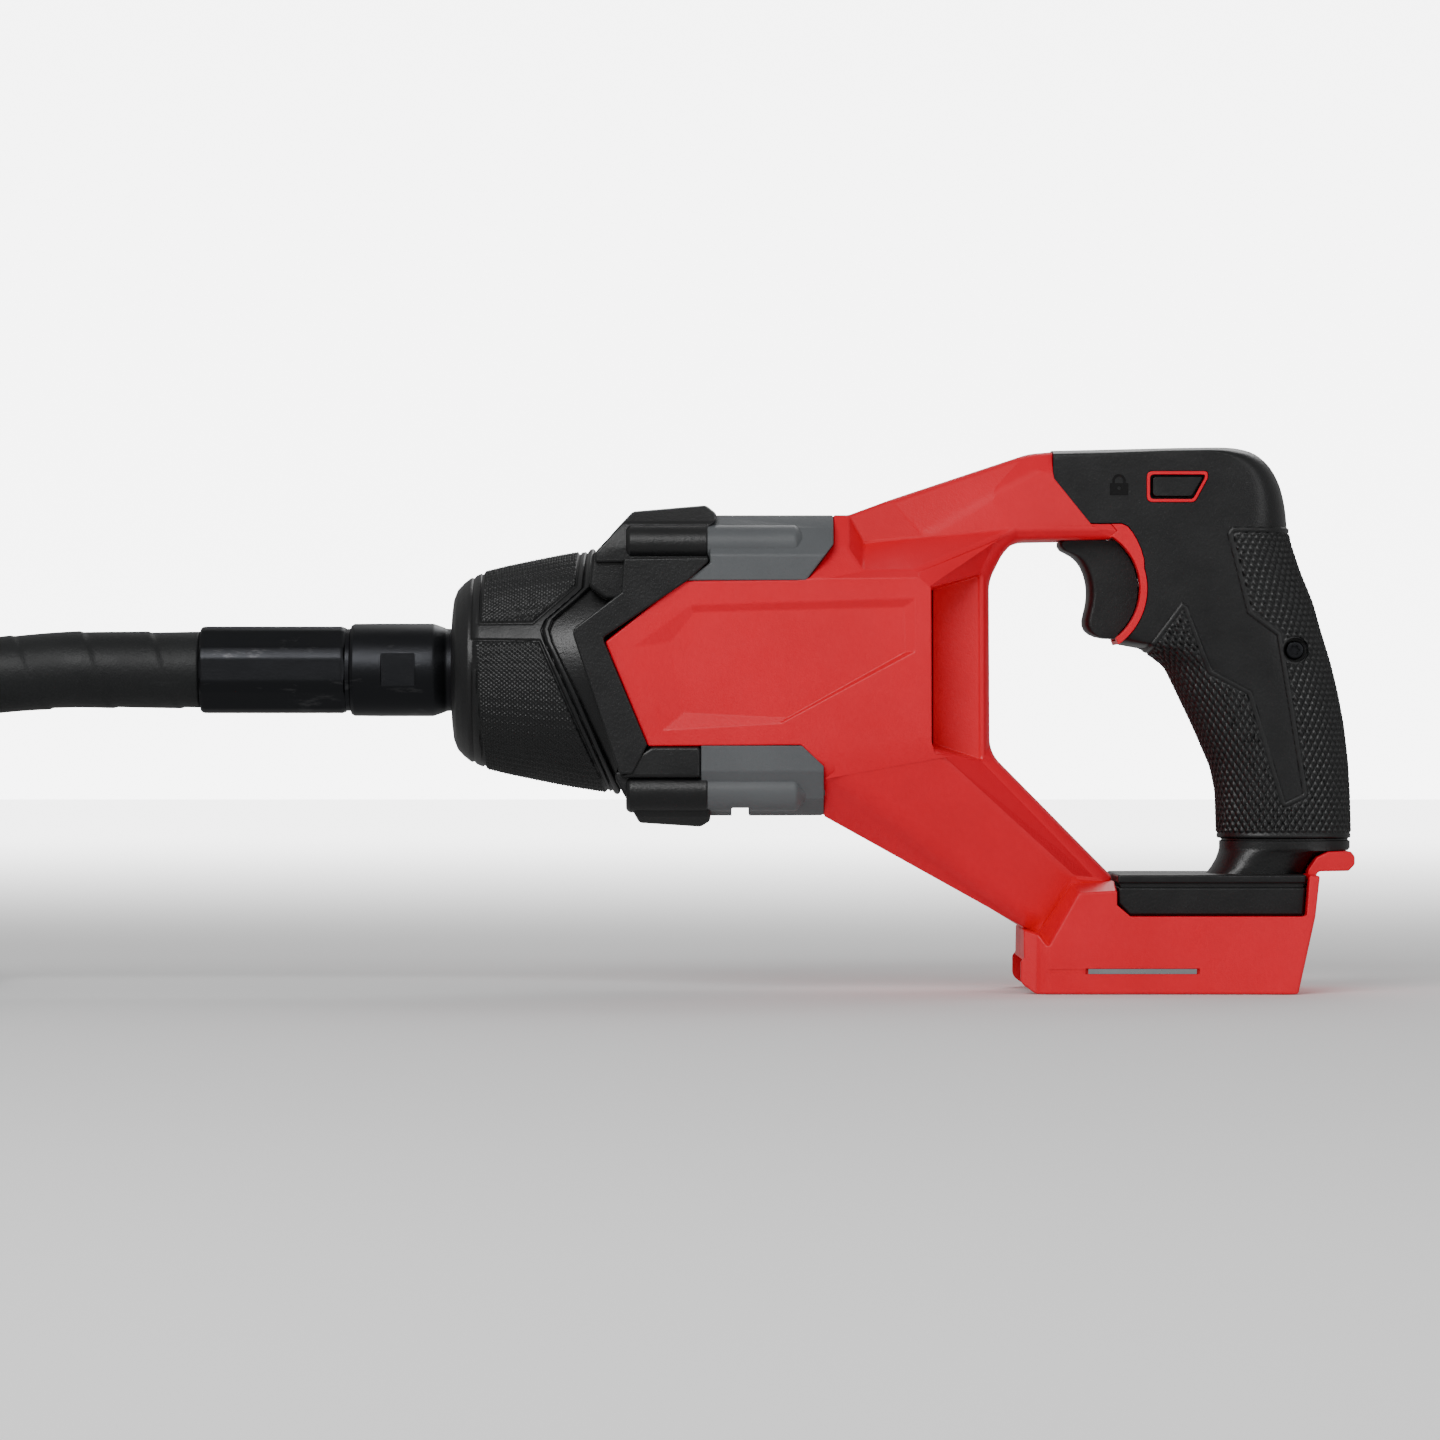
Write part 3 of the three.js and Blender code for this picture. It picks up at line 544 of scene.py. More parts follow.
COUPLING_SOCKET = [  # octagonal socket over the hose's end
    (-387.0, 15.9), (-387.0, 16.9), (-386.2, 17.8), (-385.0, 18.1), (-330.4, 18.1), (-329.0, 17.6),
    (-328.4, 16.8), (-326.9, 16.8),
]
COUPLING_BODY = [
    (-326.9, 16.8), (-326.4, 17.9), (-325.2, 18.6), (-315.0, 18.7), (-293.6, 18.7), (-292.4, 18.3),
    (-288.9, 17.1), (-288.3, 16.7), (-287.3, 16.6), (-284.2, 16.6), (-284.2, 12.0), (-263.2, 12.0),
    (-263.2, 9.0), (-387.0, 9.0),
]
FACETS = 8


def make_coupling():
    """The steel coupling that the hose screws into: eight soft flats, then a round collar."""
    def ring(along, radius, squareness):
        points = []
        for k in range(160):
            turn = 2 * math.pi * (k + 0.5) / 160
            slant = (turn - math.pi / 8) % (2 * math.pi / FACETS) - math.pi / FACETS
            flat = math.cos(math.pi / FACETS) / math.cos(slant)
            r = radius * (1 + squareness * (min(flat * 1.045, 1.0) - 1.0))
            points.append((along, r * math.cos(turn), AXIS_Z + r * math.sin(turn)))
        return points

    profile = [(x, r, 1.0 if r > 17.4 else 0.4) for x, r in COUPLING_SOCKET[1:]]
    rings = [ring(x, r, s) for x, r, s in profile]
    rings += [ring(x, r, 0.0) for x, r in COUPLING_BODY[1:]]
    rings.append(ring(-387.0, 15.9, 0.0))
    coupling = loft("hose_socket", rings, GUNMETAL, caps=False, loop=True)
    coupling = carved(coupling, block("flat", (-314.0, -30, 100), (-300.0, -17.5, 160), GUNMETAL, 0.5),
                      block("flat", (-314.0, 17.5, 100), (-300.0, 30, 160), GUNMETAL, 0.5))
    placed(coupling, "hose_socket", "black_steel", "hose_coupling", crease=28)


# ---- Nose boot ----

BOOT_PROFILE = [(-285.0, 20.0), (-285.6, 24.0), (-285.0, 28.6), (-283.6, 32.2), (-281.0, 34.9),
                (-278.4, 37.0),
                (-274.0, 38.9), (-264.0, 41.4), (-252.0, 43.9), (-242.0, 45.9), (-232.0, 47.6),
                (-222.0, 49.1),
                (-212.0, 50.2)]
BOOT_FRONT = -277.0  # a groove runs round the boot here
BEAD_LINE = [(60.0, -216.5), (83.5, -218.4), (140.1, -244.2), (145.5, -245.6), (149.5, -244.2),
             (161.3, -229.4),
             (175.5, -228.2), (200.0, -227.8)]  # height, x of the bead along the boot's rear edge
UPPER_PANEL = [(-273.6, 147.2), (-273.0, 190), (-233.2, 190), (-235.3, 162.3), (-252.3, 147.4)]
LOWER_PANEL = [(-276.2, 140.6), (-249.6, 140.2), (-215.0, 62.0), (-271.0, 62.0), (-272.7, 91.5)]
BOOT_DIAMOND = (2.1, 1.75)  # along the axis, around it
PANEL_LIFT, PANEL_GRAIN, PANEL_GROOVE = 0.05, 0.75, 0.65
FRONT_GROOVE, BEAD_LIFT, BEAD_W, BEAD_GROOVE = 0.7, 0.75, 2.7, 0.8
BOOT_TEXTURE_R = 45.0  # the radius at which the diamonds have that width


def inside_distance(outline, x, z):
    """Distance to the outline, positive inside; x and z are arrays."""
    points = np.array(outline, float)
    best = np.full(x.shape, 1e9)
    inside = np.zeros(x.shape, bool)
    for (ax, az), (bx, bz) in zip(points, np.roll(points, -1, 0)):
        dx, dz = bx - ax, bz - az
        t = np.clip(((x - ax) * dx + (z - az) * dz) / (dx * dx + dz * dz), 0, 1)
        best = np.minimum(best, np.hypot(x - ax - t * dx, z - az - t * dz))
        crosses = (az > z) != (bz > z)
        with np.errstate(divide="ignore", invalid="ignore"):
            inside ^= crosses & (x < ax + (z - az) * dx / dz)
    return np.where(inside, best, -best)


def diamonds(a, b, pitch_a, pitch_b, sharp=1.0):
    """Height from 0 to 1 of a field of small pyramids on a staggered grid."""
    u, v = a / pitch_a, b / pitch_b
    p, q = (u + v) % 1.0, (u - v) % 1.0
    height = np.minimum(1 - np.abs(2 * p - 1), 1 - np.abs(2 * q - 1))
    return np.clip(height * sharp, 0, 1)


def smoothstep(value, low, high):
    t = np.clip((value - low) / (high - low), 0, 1)
    return t * t * (3 - 2 * t)


def boot_radius(x):
    along, radius = zip(*BOOT_PROFILE)
    return np.interp(x, along, radius)


def make_boot():
    """The rubber boot round the nose: two textured panels a side, a front rim and a rear bead."""
    quick = 1
    around = 720 // quick
    turns = np.linspace(0, 2 * math.pi, around, endpoint=False)
    front = np.array([x for x, _ in BOOT_PROFILE[:7]])
    front = np.interp(np.linspace(0, 6, 28), range(7), front)
    body = np.linspace(0, 1, 130 // quick)[1:]
    heights, edge = zip(*BEAD_LINE)
    height = AXIS_Z + 47.5 * np.sin(turns)
    rear = np.interp(height, heights, edge)
    x = np.concatenate([np.repeat(front[:, None], around, 1),
                        front[-1] + body[:, None] * (rear - front[-1])[None, :]])
    angle = np.repeat(turns[None, :], x.shape[0], 0)
    start = np.interp(np.linspace(0, 6, 28), range(7), [r for _, r in BOOT_PROFILE[:7]])
    radius = boot_radius(x)
    radius[:28] = start[:, None]
    z = AXIS_Z + radius * np.sin(angle)
    lift = np.zeros(x.shape)
    for panel in (UPPER_PANEL, LOWER_PANEL):
        depth = inside_distance(panel, x, z)
        field = diamonds(x, angle * BOOT_TEXTURE_R, *BOOT_DIAMOND)
        lift += smoothstep(depth, 0.5, 1.0) * (PANEL_LIFT + PANEL_GRAIN * field)
        lift -= PANEL_GROOVE * smoothstep(0.75 - np.abs(depth), 0.0, 0.6)
    lift -= FRONT_GROOVE * smoothstep(0.7 - np.abs(x - BOOT_FRONT), 0.0, 0.6)
    back = rear[None, :] - x
    lift += BEAD_LIFT * smoothstep(BEAD_W - back, 0.0, 0.9) * smoothstep(back, 0.0, 0.8)
    lift -= BEAD_GROOVE * smoothstep(0.55 - np.abs(back - 3.2), 0.0, 0.5)
    radius = radius + lift
    rings = [list(zip(xs, r * np.cos(a), AXIS_Z + r * np.sin(a))) for xs, r, a in zip(x, radius, angle)]
    inner = radius[-1] - 7.0
    rings.append(list(zip(rear + 0.5, inner * np.cos(turns), AXIS_Z + inner * np.sin(turns))))
    neck, bore = 31.0, 20.0
    rings.append(list(zip(np.full(around, -272.0), neck * np.cos(turns), AXIS_Z + neck * np.sin(turns))))
    rings.append(list(zip(np.full(around, -281.0), bore * np.cos(turns), AXIS_Z + bore * np.sin(turns))))
    boot = loft("nose_cover", rings, RUBBER, caps=False, loop=True)
    placed(boot, "nose_cover", "grip_rubber", "nose_boot", crease=50)


# ---- Red shells: motor housing, handle frame and battery foot ----

BODY_POINTS = {
    # side face of the motor housing and the sunk blank panel in it
    "m1": (-223.4, 139.6, 52), "m2": (-193, 163.8, 52), "m3": (-143.4, 164.3, 52),
    "t1": (-138.4, 164.7, 52), "m4": (-99.3, 165.1, 52), "m5": (-94.5, 161.1, 52),
    "m6": (-94.3, 97.6, 52), "m7": (-137.4, 90.2, 51.6), "m8": (-146, 98.8, 52), "m9": (-206.4, 98.4, 52),
    "c1": (-124.7, 93.4, 52), "c2": (-108.7, 96.3, 52), "r1": (-212, 137.5, 52),
    "r2": (-189.3, 154.1, 52), "r3": (-100.7, 156.8, 52), "r4": (-100.7, 136.1, 52),
    "r5": (-154, 107.6, 52), "r6": (-200.7, 104.8, 52), "n1": (-198, 139.5, 50.1),
    "n2": (-188, 151.5, 50.1), "n3": (-105.3, 153.5, 50.1), "n4": (-104.7, 135.5, 50.1),
    "n5": (-151.3, 109.5, 50.1), "n6": (-192.7, 111.5, 50.1),
    # corner strip beside the upper guard, and the bright little facet
    "s2": (-133.3, 178.3, 44), "s3": (-133, 190.3, 36), "s4": (-127, 190.3, 35),
    "t2": (-127.5, 176.8, 44.8), "t3": (-121.6, 168.1, 49.5), "w2": (-99.4, 168.1, 47.6),
    # upper arm
    "b1": (-120.7, 179.3, 30.5), "k1": (-110, 196.8, 25.5), "k2": (-54.5, 215.5, 15.5),
    "k3": (-44.8, 216.3, 15.5), "a1": (-97, 182.4, 29), "a2": (-70.9, 197.9, 25.5),
    "a3": (-51.3, 208.2, 21.5), "h1": (-44.8, 208.2, 20.4), "h2": (-44.3, 205.4, 20.4),
    "h3": (-29.6, 187.2, 20.4), "h4": (-21.6, 187.2, 20.4), "h5": (-19.2, 184.4, 20.2),
    # rim of the handle opening: crease, then the edge of the opening
    "x0": (-27, 185.4, 22), "x1": (-60.3, 184.9, 26.6), "x2": (-67.6, 179.2, 27.8),
    "x3": (-73.6, 167.3, 28.5), "x4": (-73.4, 92.6, 28.5), "x5": (-25.8, 44.9, 25.5),
    "o0": (-21.8, 181.2, 18.4), "o1": (-59.2, 180.6, 22.5), "o2": (-64.6, 176.2, 23.5),
    "o3": (-70.5, 164.4, 24), "o4": (-70.2, 98.8, 24), "o5": (-68.2, 93.8, 24), "o6": (-21.6, 46.6, 21.5),
    # sunk wall with the cooling slot
    "va": (-93, 160.7, 25), "vb": (-75, 166.2, 27.4), "vc": (-74.6, 93.2, 27.4), "vd": (-93, 99.2, 25),
    "ua": (-94.2, 160.4, 16), "ud": (-94.2, 99.4, 16), "wa": (-93, 160.4, 16), "wd": (-93, 99.4, 16),
    # lower arm
    "q0": (-137.2, 71.4, 37), "q9": (-131, 70.4, 34), "u1": (-50.8, 24.2, 24.8), "la": (-38, 46.1, 25.5),
    "e2": (-57.4, 25.8, 15), "z1": (-22, 36, 23), "z2": (-34, 22, 23), "z3": (-50, 20, 21),
}
BODY_FACES = [
    "m1 m2 r2 r1", "m2 m3 t1 m4 r3 r2", "m4 m5 m6 r4 r3", "m6 c2 r4", "c2 c1 r5 r4", "c1 m7 m8 r5",
    "m8 m9 r6 r5", "m9 m1 r1 r6", "r1 r2 n2 n1", "r2 r3 n3 n2", "r3 r4 n4 n3", "r4 r5 n5 n4",
    "r5 r6 n6 n5", "r6 r1 n1 n6", "n1 n2 n3 n4 n5 n6", "t1 t2 t3", "t1 m3 s2 t2", "s2 s3 s4 t2",
    "t2 s4 b1 t3", "t1 t3 w2 m4", "t3 b1 x1 w2", "s4 k1 a1 b1", "k1 k2 a2 a1", "k2 a3 a2", "k2 k3 h1 a3",
    "b1 a1 a2 x1", "x1 a2 a3 h1 h2 h3 x0", "x0 h3 h4 h5", "m4 w2 x1 x2 x3 m5", "x0 h5 o0", "x0 o0 o1 x1",
    "x1 o1 o2 x2", "x2 o2 o3 x3", "x3 o3 o4 x4", "x4 o4 o5", "x4 o5 o6 x5", "m5 x3 vb va", "va vb vc vd",
    "x3 x4 vc vb", "x4 m6 vd vc", "m6 m5 ua ud", "m5 va wa ua", "va vd wd wa", "vd m6 ud wd",
    "ua wa wd ud", "m6 x4 x5 la", "m7 c1 c2 m6 la u1", "m7 u1 e2 q9 q0", "la x5 o6 z1", "la z1 z2 z3 u1",
    "u1 z3 e2",
]
BODY_RIM = "m1 m2 m3 s2 s3 s4 k1 k2 k3 h1 h2 h3 h4 h5 o0 o1 o2 o3 o4 o5 o6 z1 z2 z3 e2 q9 q0 m7 m8 m9"
BODY_SOFT = {  # edge radius -> its edges; one name alone is the edge that runs in from that rim point
    0.2: "va wa, vd wd, ua wa, wa wd, wd ud, ud ua, m5 ua, m6 ud, m5 va, m6 vd",
    0.3: "x0 h5, x0 o0, h1, h2, h3, h4, h5",
    0.4: "va vd, t1 m3, t1 m4, h5 o0",
    0.5: "n1 n2, n2 n3, n3 n4, n4 n5, n5 n6, n6 n1, r1 n1, r2 n2, r3 n3, r4 n4, r5 n5, r6 n6, "
         "va vb, vc vd, vb vc, m4 w2, m4 m5, h1 h2, h2 h3, h3 h4, h4 h5, k3 h1",
    0.6: "r1 r2, r2 r3, r3 r4, r4 r5, r5 r6, r6 r1",
    1.4: "x0 x1, s4 k1",
    1.6: "x1 x2, x2 x3, x3 x4, x4 x5, m6 la",
    2.0: "o0 o1, k1",
    2.2: "k1 k2, a2 a3, w2 x1",
    2.4: "o4, o5, k2 k3",
    2.6: "o1 o2, o2 o3, o3 o4, o4 o5, o5 o6",
    3.0: "k2, a1 a2",
    3.4: "q9 e2",
    3.5: "o1, o2, o3",
    4.0: "c2 m6",
    5.0: "m7 c1",
    6.0: "c1 c2, m7 u1",
}
FOOT_POINTS = {
    "p1": (-47.6, 18.6, 40), "p2": (-35.6, 40.2, 40), "p3": (-20.4, 41.0, 40), "p4": (-20.4, 35.4, 40),
    "p5": (-15, 30.8, 40), "p6": (54.7, 30.8, 41.2), "p7": (51.4, 0, 42), "q1": (56.1, 47.3, 38.8),
    "q2": (60.3, 46.9, 38.8), "q3": (58.2, 30.4, 41.2), "p8": (11.5, 0, 40), "p9": (-47.6, 0, 40),
    "g1": (21.5, 14, 40), "g2": (31.5, 30.8, 40), "u1": (-50.8, 24, 27.5), "u2": (-37.8, 43.4, 25.4),
    "u3": (-20.4, 44.6, 25.4), "w1": (-51.4, 23.6, 38.4), "w0": (-51.4, 0, 38.4), "n1": (-57.2, 25.4, 33),
    "n2": (-57.2, 14.2, 36.4), "n3": (-58.5, 12.6, 36.6), "n4": (-58.5, 4.2, 36.6),
    "n5": (-52.6, 0, 37.4),
}
FOOT_FACES = [
    "p1 p2 p3 p4 p5 g2 g1 p8 p9", "g1 g2 p6 q3 p7 p8", "p6 q1 q2 q3", "p1 u1 u2 p2", "p2 u2 u3 p3",
    "p1 p9 w0 w1", "w1 u1 p1", "w1 n1 u1", "w1 w0 n5 n4 n3 n2 n1",
]
FOOT_RIM = "u1 u2 u3 p3 p4 p5 g2 p6 q1 q2 q3 p7 p8 p9 w0 n5 n4 n3 n2 n1"
FOOT_SOFT = {
    0.0: "g2, p8",
    0.3: "g1 g2, g1 p8, p3, p4, p5",
    0.4: "n2 n3, n2",
    0.5: "p6 q1, n3, p3 p4, p4 p5, p5 g2, g2 p6",
    0.6: "n1 n2, u1 u2, u2 u3",
    0.8: "q1 q2, n3 n4",
    1.0: "p9 p8, p8 p7, q2 q3, p7",
    1.2: "p1 p9, w1 w0",
    1.4: "q3 p7",
    2.0: "n4",
}
BATTERY_BAY = {"x0": -62.0, "x1": 44.0, "y": 34.0, "z": 13.5}
REAR_LIP = [(57.2, 40), (59.4, 40), (60.8, 47.4), (61.8, 48.2), (73.5, 48.4), (76, 51), (76, 54.2),
            (74.4, 56.3),
            (65.5, 56.1), (60.8, 53.9), (57.2, 48.6)]
HOUSING_SCREWS = [(-108, 181), (-53, 197), (-81, 64), (-41, 31)]
HOLLOWS = [  # pockets in the arms and the foot: outline, depth
    ([(-90, 176), (-62, 186), (-49, 186), (-49, 206), (-90, 194)], 16),
    ([(-92, 94), (-84, 78), (-50, 36), (-34, 36), (-76, 90)], 18),
    ([(-36, 19), (50, 19), (50, 27), (-36, 27)], 36),
    ([(-92, 106), (-79, 106), (-79, 166), (-92, 166)], 14),
]
SCREW_WELL_R = 4.2
SCREW_WELL_FLOOR = 15.8
MOTOR_BORE_R = 44.2
SHAFT_BORE_R = 12.0


def cylinder_y(x, z, y0, y1, radius, material, segments=40):
    return lathe("round", [(y0, radius), (y1, radius)], material, (x, z), segments, "y")


def cylinder_x(x0, x1, y, z, radius, material, segments=64):
    return lathe("round", [(x0, radius), (x1, radius)], material, (y, z), segments, "x")


def red_half(side):
    """The red clamshell of one side, hollow, with its bay, slot, and on the right the screw wells."""
    body = facet_half("body", BODY_POINTS, BODY_FACES, BODY_RIM, BODY_SOFT, RED)
    foot = facet_half("foot", FOOT_POINTS, FOOT_FACES, FOOT_RIM, FOOT_SOFT, RED)
    lip = prism("lip", REAR_LIP, -20.0, -SEAM, RED, 1.4, angle=20)
    body = carved(body, foot, lip, operation="UNION")
    x0, x1, y, z = BATTERY_BAY.values()
    cutters = [
        cylinder_x(-240, -122, 0, AXIS_Z, MOTOR_BORE_R, RED),
        cylinder_x(-123, -94.8, 0, AXIS_Z, SHAFT_BORE_R, RED),
        block("bay", (x0, -y, -5), (x1, 5, z), RED),
        block("slot", (-33.0, -45, 7.9), (12.4, -38.4, 10.2), RED, 0.2),
        block("line", (-62.0, -45, 8.4), (-33.4, -39.6, 9.8), RED),
    ]
    cutters += [prism("hollow", outline, -depth, 5, RED) for outline, depth in HOLLOWS]
    body = carved(body, *cutters)
    if side == RIGHT:
        wells = [cylinder_y(x, z, -60, -SCREW_WELL_FLOOR, SCREW_WELL_R, RED) for x, z in HOUSING_SCREWS]
        # the exact solver empties the shell at the first well
        body = mirrored(carved(body, *wells, solver="MANIFOLD"))
    return body


def make_shells():
    for side, word in ((LEFT, "left"), (RIGHT, "right")):
        nodes = [f"{word}_{part}" for part in ("housing", "frame", "battery_base")]
        placed(red_half(side), f"{word}_shell", "red_plastic", *nodes, crease=30)


# ---- Black front housing and grey guards ----

def section(side, shoulder, top, low, high):
    """The barrel's outline across the axis, from half-widths and heights over the axis."""
    right = [(side, low), (side, high), (shoulder[0], shoulder[1]), (top[0], top[1])]
    return [(y, AXIS_Z + z) for y, z in right] + [(-y, AXIS_Z + z) for y, z in reversed(right)]


def flipped(outline):
    return [(a, 2 * AXIS_Z - b) for a, b in outline]


FRONT_CONE = [(-247, 43.4), (-230, 46.6), (-214, 49.0), (-200, 50.4), (-183, 50.8)]
PANEL_WINDOW = [(-222.0, 140.4), (-205.4, 99.8), (-180, 99.8), (-180, 168), (-191.2, 162.6)]
FRONT_OUTLINE = [(-228.6, 178.4), (-229.9, 161), (-244.8, 149.3), (-246.2, 145.5), (-244.8, 140),
                 (-218.6, 83),
                 (-213.6, 70), (-183, 66), (-183, 192), (-212, 192)]
BAND = [(-215.9, 172.5), (-216.9, 159.2), (-235.2, 145.4), (-236.1, 143.4), (-235.6, 141.2), (-217.6, 87.4),
        (-212.6, 87.4), (-206.6, 98.9), (-223.8, 139.9), (-223.9, 141.4), (-222.6, 142.3), (-190.2, 164.2),
        (-182.6, 171.2), (-182.6, 173)]
FLANGE = [(-217, 86), (-209.6, 95.4), (-205, 98.3), (-185.7, 98.3), (-185.7, 86)]
UPPER_LUG = [(-227.5, 175), (-212.6, 191.6), (-183.5, 194.2), (-179.4, 190.8), (-179.4, 187.8),
             (-182.3, 185),
             (-182.3, 171), (-227.5, 171)]
LOWER_LUG = [(-219.4, 85.4), (-210.0, 68.0), (-185.6, 66.4), (-181.8, 68.8), (-181.8, 88.5), (-219.4, 88.5)]
LUG_CHEEK = [(-228.6, 175.5), (-214, 175.5), (-214, 156), (-223, 156), (-230.2, 161.5)]
UPPER_BOSS = {"y": 43.4, "z": 178.6, "r": 7.9}
LOWER_BOSS = {"y": 43.4, "z": 80.4, "r": 8.3}
NOSE_SCREW = {"y": 43.0, "z": 50.5, "front": -206.3}


def boss_profile(x0, x1, radius):
    return [(x0, radius - 1.6), (x0 + 0.4, radius - 0.8), (x0 + 1.6, radius), (x1 - 0.8, radius),
            (x1, radius - 0.8)]


def make_front_housing():
    """The black moulding between boot and motor housing: cone, raised chevron band, lugs and bosses."""
    body = lathe("front", FRONT_CONE, BLACK, segments=144)
    body = carved(body, prism("outline", FRONT_OUTLINE, -70, 70, BLACK), operation="INTERSECT")
    parts = []
    for outline, low, high in ((UPPER_LUG, 40, 66), (LOWER_LUG, -66, -38)):
        across = section(49.4, (46.0, 58.0), (36.0, 66.0), 38.0, 48.0)
        across = across if low > 0 else flipped(across)
        lug = prism("lug", across, -232, -178, BLACK, axis="x")
        lug = carved(lug, prism("side", outline, -70, 70, BLACK), operation="INTERSECT")
        parts.append(bevelled(lug, 1.1))
    parts.append(prism("cheek", LUG_CHEEK, -46.8, 46.8, BLACK, 2.0))
    for side in (LEFT, RIGHT):
        low, high = sorted((side * 54.0, side * 40.0))
        parts.append(prism("band", BAND, low, high, BLACK, 1.3, angle=18))
        low, high = sorted((side * 52.9, side * 40.0))
        parts.append(prism("flange", FLANGE, low, high, BLACK, 1.4))
        for boss in (UPPER_BOSS, LOWER_BOSS):
            profile = boss_profile(-215.2, -182.6, boss["r"])
            parts.append(lathe("boss", profile, BLACK, (side * boss["y"], boss["z"]), 64))
    body = carved(body, *parts, operation="UNION")
    cutters = [cylinder_x(-300, -150, 0, AXIS_Z, MOTOR_BORE_R - 0.6, BLACK, 96)]
    for y in (-1, 1):
        for z in (-1, 1):
            place = (y * NOSE_SCREW["y"], AXIS_Z + z * NOSE_SCREW["z"])
            cutters.append(cylinder_x(-240, NOSE_SCREW["front"] + 3.6, *place, 4.7, BLACK, 40))
    for side in (LEFT, RIGHT):
        low, high = sorted((side * 41.0, side * 70.0))
        cutters.append(prism("window", PANEL_WINDOW, low, high, BLACK))
    cutters += [block("notch", (x, -33, 191.9), (x + 1.3, 33, 200), BLACK) for x in (-204.6, -194.2)]
    body = carved(body, *cutters)
    placed(body, "front_cover", "black_plastic", "front_housing", crease=30)


GUARD_BORE_R = 45.0
UPPER_GUARD = [(-191.5, 163.9), (-144.0, 163.9), (-133.1, 178.3), (-133.0, 191), (-182, 191), (-182, 171)]
LOWER_GUARD = [(-185.5, 98.7), (-145.6, 98.7), (-137.0, 90.6), (-136.8, 71.6), (-137.6, 70.9),
               (-185.5, 70.6)]


def rail_profile(x0, x1, radius, foot):
    """A half-round rail whose end sweeps down in a hollow curve."""
    curve = [(x1 + 11.0 * t, foot + (radius - foot) * (1 - t) ** 2.4) for t in np.linspace(0, 1, 12)]
    return [(x0, radius), (x1 - 1.2, radius), (x1 - 0.5, radius - 0.25)] + [(x, r - 0.5) for x, r in curve]


def make_guards():
    """The grey covers over and under the motor housing, each with a rail along both corners."""
    upper = section(52.3, (44.8, 55.9), (36.6, 61.2), 34.0, 45.0)
    lower = flipped(section(52.3, (46.2, 51.5), (36.6, 58.2), 28.0, 40.4))
    step = (-176.0, -30, 189.3), (-152.0, 30, 199), 0.3
    notch = (-173.4, -60, 60), (-166.4, 60, 74.0), 0.6
    for name, node, across, outline, boss, (cut_low, cut_high, cut_bevel) in (
        ("upper_cover", "top_guard", upper, UPPER_GUARD, UPPER_BOSS, step),
        ("lower_cover", "bottom_guard", lower, LOWER_GUARD, LOWER_BOSS, notch),
    ):
        guard = prism("guard", across, -192, -130, GREY, axis="x")
        guard = carved(guard, prism("side", outline, -70, 70, GREY), operation="INTERSECT")
        guard = bevelled(guard, 0.8)
        rails = []
        for side in (LEFT, RIGHT):
            profile = rail_profile(-184.0, -147.5, boss["r"] - 0.5, 2.0)
            rails.append(lathe("rail", profile, GREY, (side * boss["y"], boss["z"]), 64))
        guard = carved(guard, *rails, operation="UNION")
        bore = cylinder_x(-240, -100, 0, AXIS_Z, GUARD_BORE_R, GREY, 96)
        guard = carved(guard, bore, block("cut", cut_low, cut_high, GREY, cut_bevel))
        placed(guard, name, "grey_plastic", node, crease=30)


# ---- Handle shells and rubber grips ----

NECK_STATIONS = [  # the section's inner and outer ends (x, z), then its half width and edge radii
    (18.0, 47.0, 56.9, 47.0, 17.8, 12, 12), (20.2, 50, 58.9, 50, 17.8, 14, 12),
    (21.9, 53, 61.4, 53, 17.9, 15, 13), (22.8, 55.5, 65.6, 55.5, 18.1, 17, 15),
    (23.0, 56.4, 75.0, 56.4, 18.4, 20, 22), (23.2, 57.4, 75.9, 57.4, 18.7, 22, 26),
    (23.2, 60.2, 75.9, 60.2, 18.7, 22, 26), (24.0, 60.5, 75.1, 60.5, 18.0, 22, 26),
    (24.0, 61.1, 75.1, 61.1, 18.0, 22, 26),
]
COLUMN_STATIONS = [
    (23.0, 61.4, 75.4, 61.4, 18.6, 22, 26), (22.4, 80.2, 74.9, 80.2, 18.6, 22, 26),
    (20.4, 90.2, 74.2, 92, 18.6, 22, 26), (13.0, 107.3, 72.4, 107.3, 18.7, 22, 26),
    (6.9, 120, 70.0, 120, 18.8, 22, 26), (1.6, 131, 67.2, 131.5, 18.9, 22, 26),
    (-6.8, 137.3, 65.2, 138, 19.0, 18, 26), (-20, 139.4, 63.2, 144.5, 19.1, 12, 26),
    (-30, 147, 60.2, 155.5, 19.2, 12, 26), (-36, 162, 54.8, 168.7, 19.2, 12, 24),
    (-42, 172, 50.6, 181.5, 19.2, 12, 20), (-46, 178, 50.4, 187, 19.2, 12, 17),
    (-50, 182, 49.6, 195, 19.2, 12, 15), (-52, 186, 47.6, 203.4, 19.2, 12, 13),
    (-54, 190, 43.6, 211, 19.2, 12, 11), (-57, 193, 37.2, 216.6, 19.2, 12, 10),
    (-59, 196, 28, 218.6, 19.2, 12, 9), (-61, 199, 8, 218.4, 19.2, 12, 9),
    (-63, 202, -18, 217.8, 19.2, 10, 9), (-65, 205, -52, 217.0, 19.2, 4, 4),
]
HANDLE_FRONT = [(-32.8, 187.7), (-44.6, 202.1), (-44.6, 232), (-90, 232), (-90, 128), (-20.6, 137.6)]
GRIP_OUTLINE = [(-30, 61.2), (-30, 137.4), (-7.4, 137.4), (6.8, 156.2), (9.1, 154.4), (19, 129),
                (34.9, 120.5),
                (36.2, 116.4), (48.4, 76.1), (55.2, 79.3), (44.8, 142.6), (33, 151.2), (24.9, 183.4),
                (26.7, 186.1), (90, 186.1), (90, 61.2)]
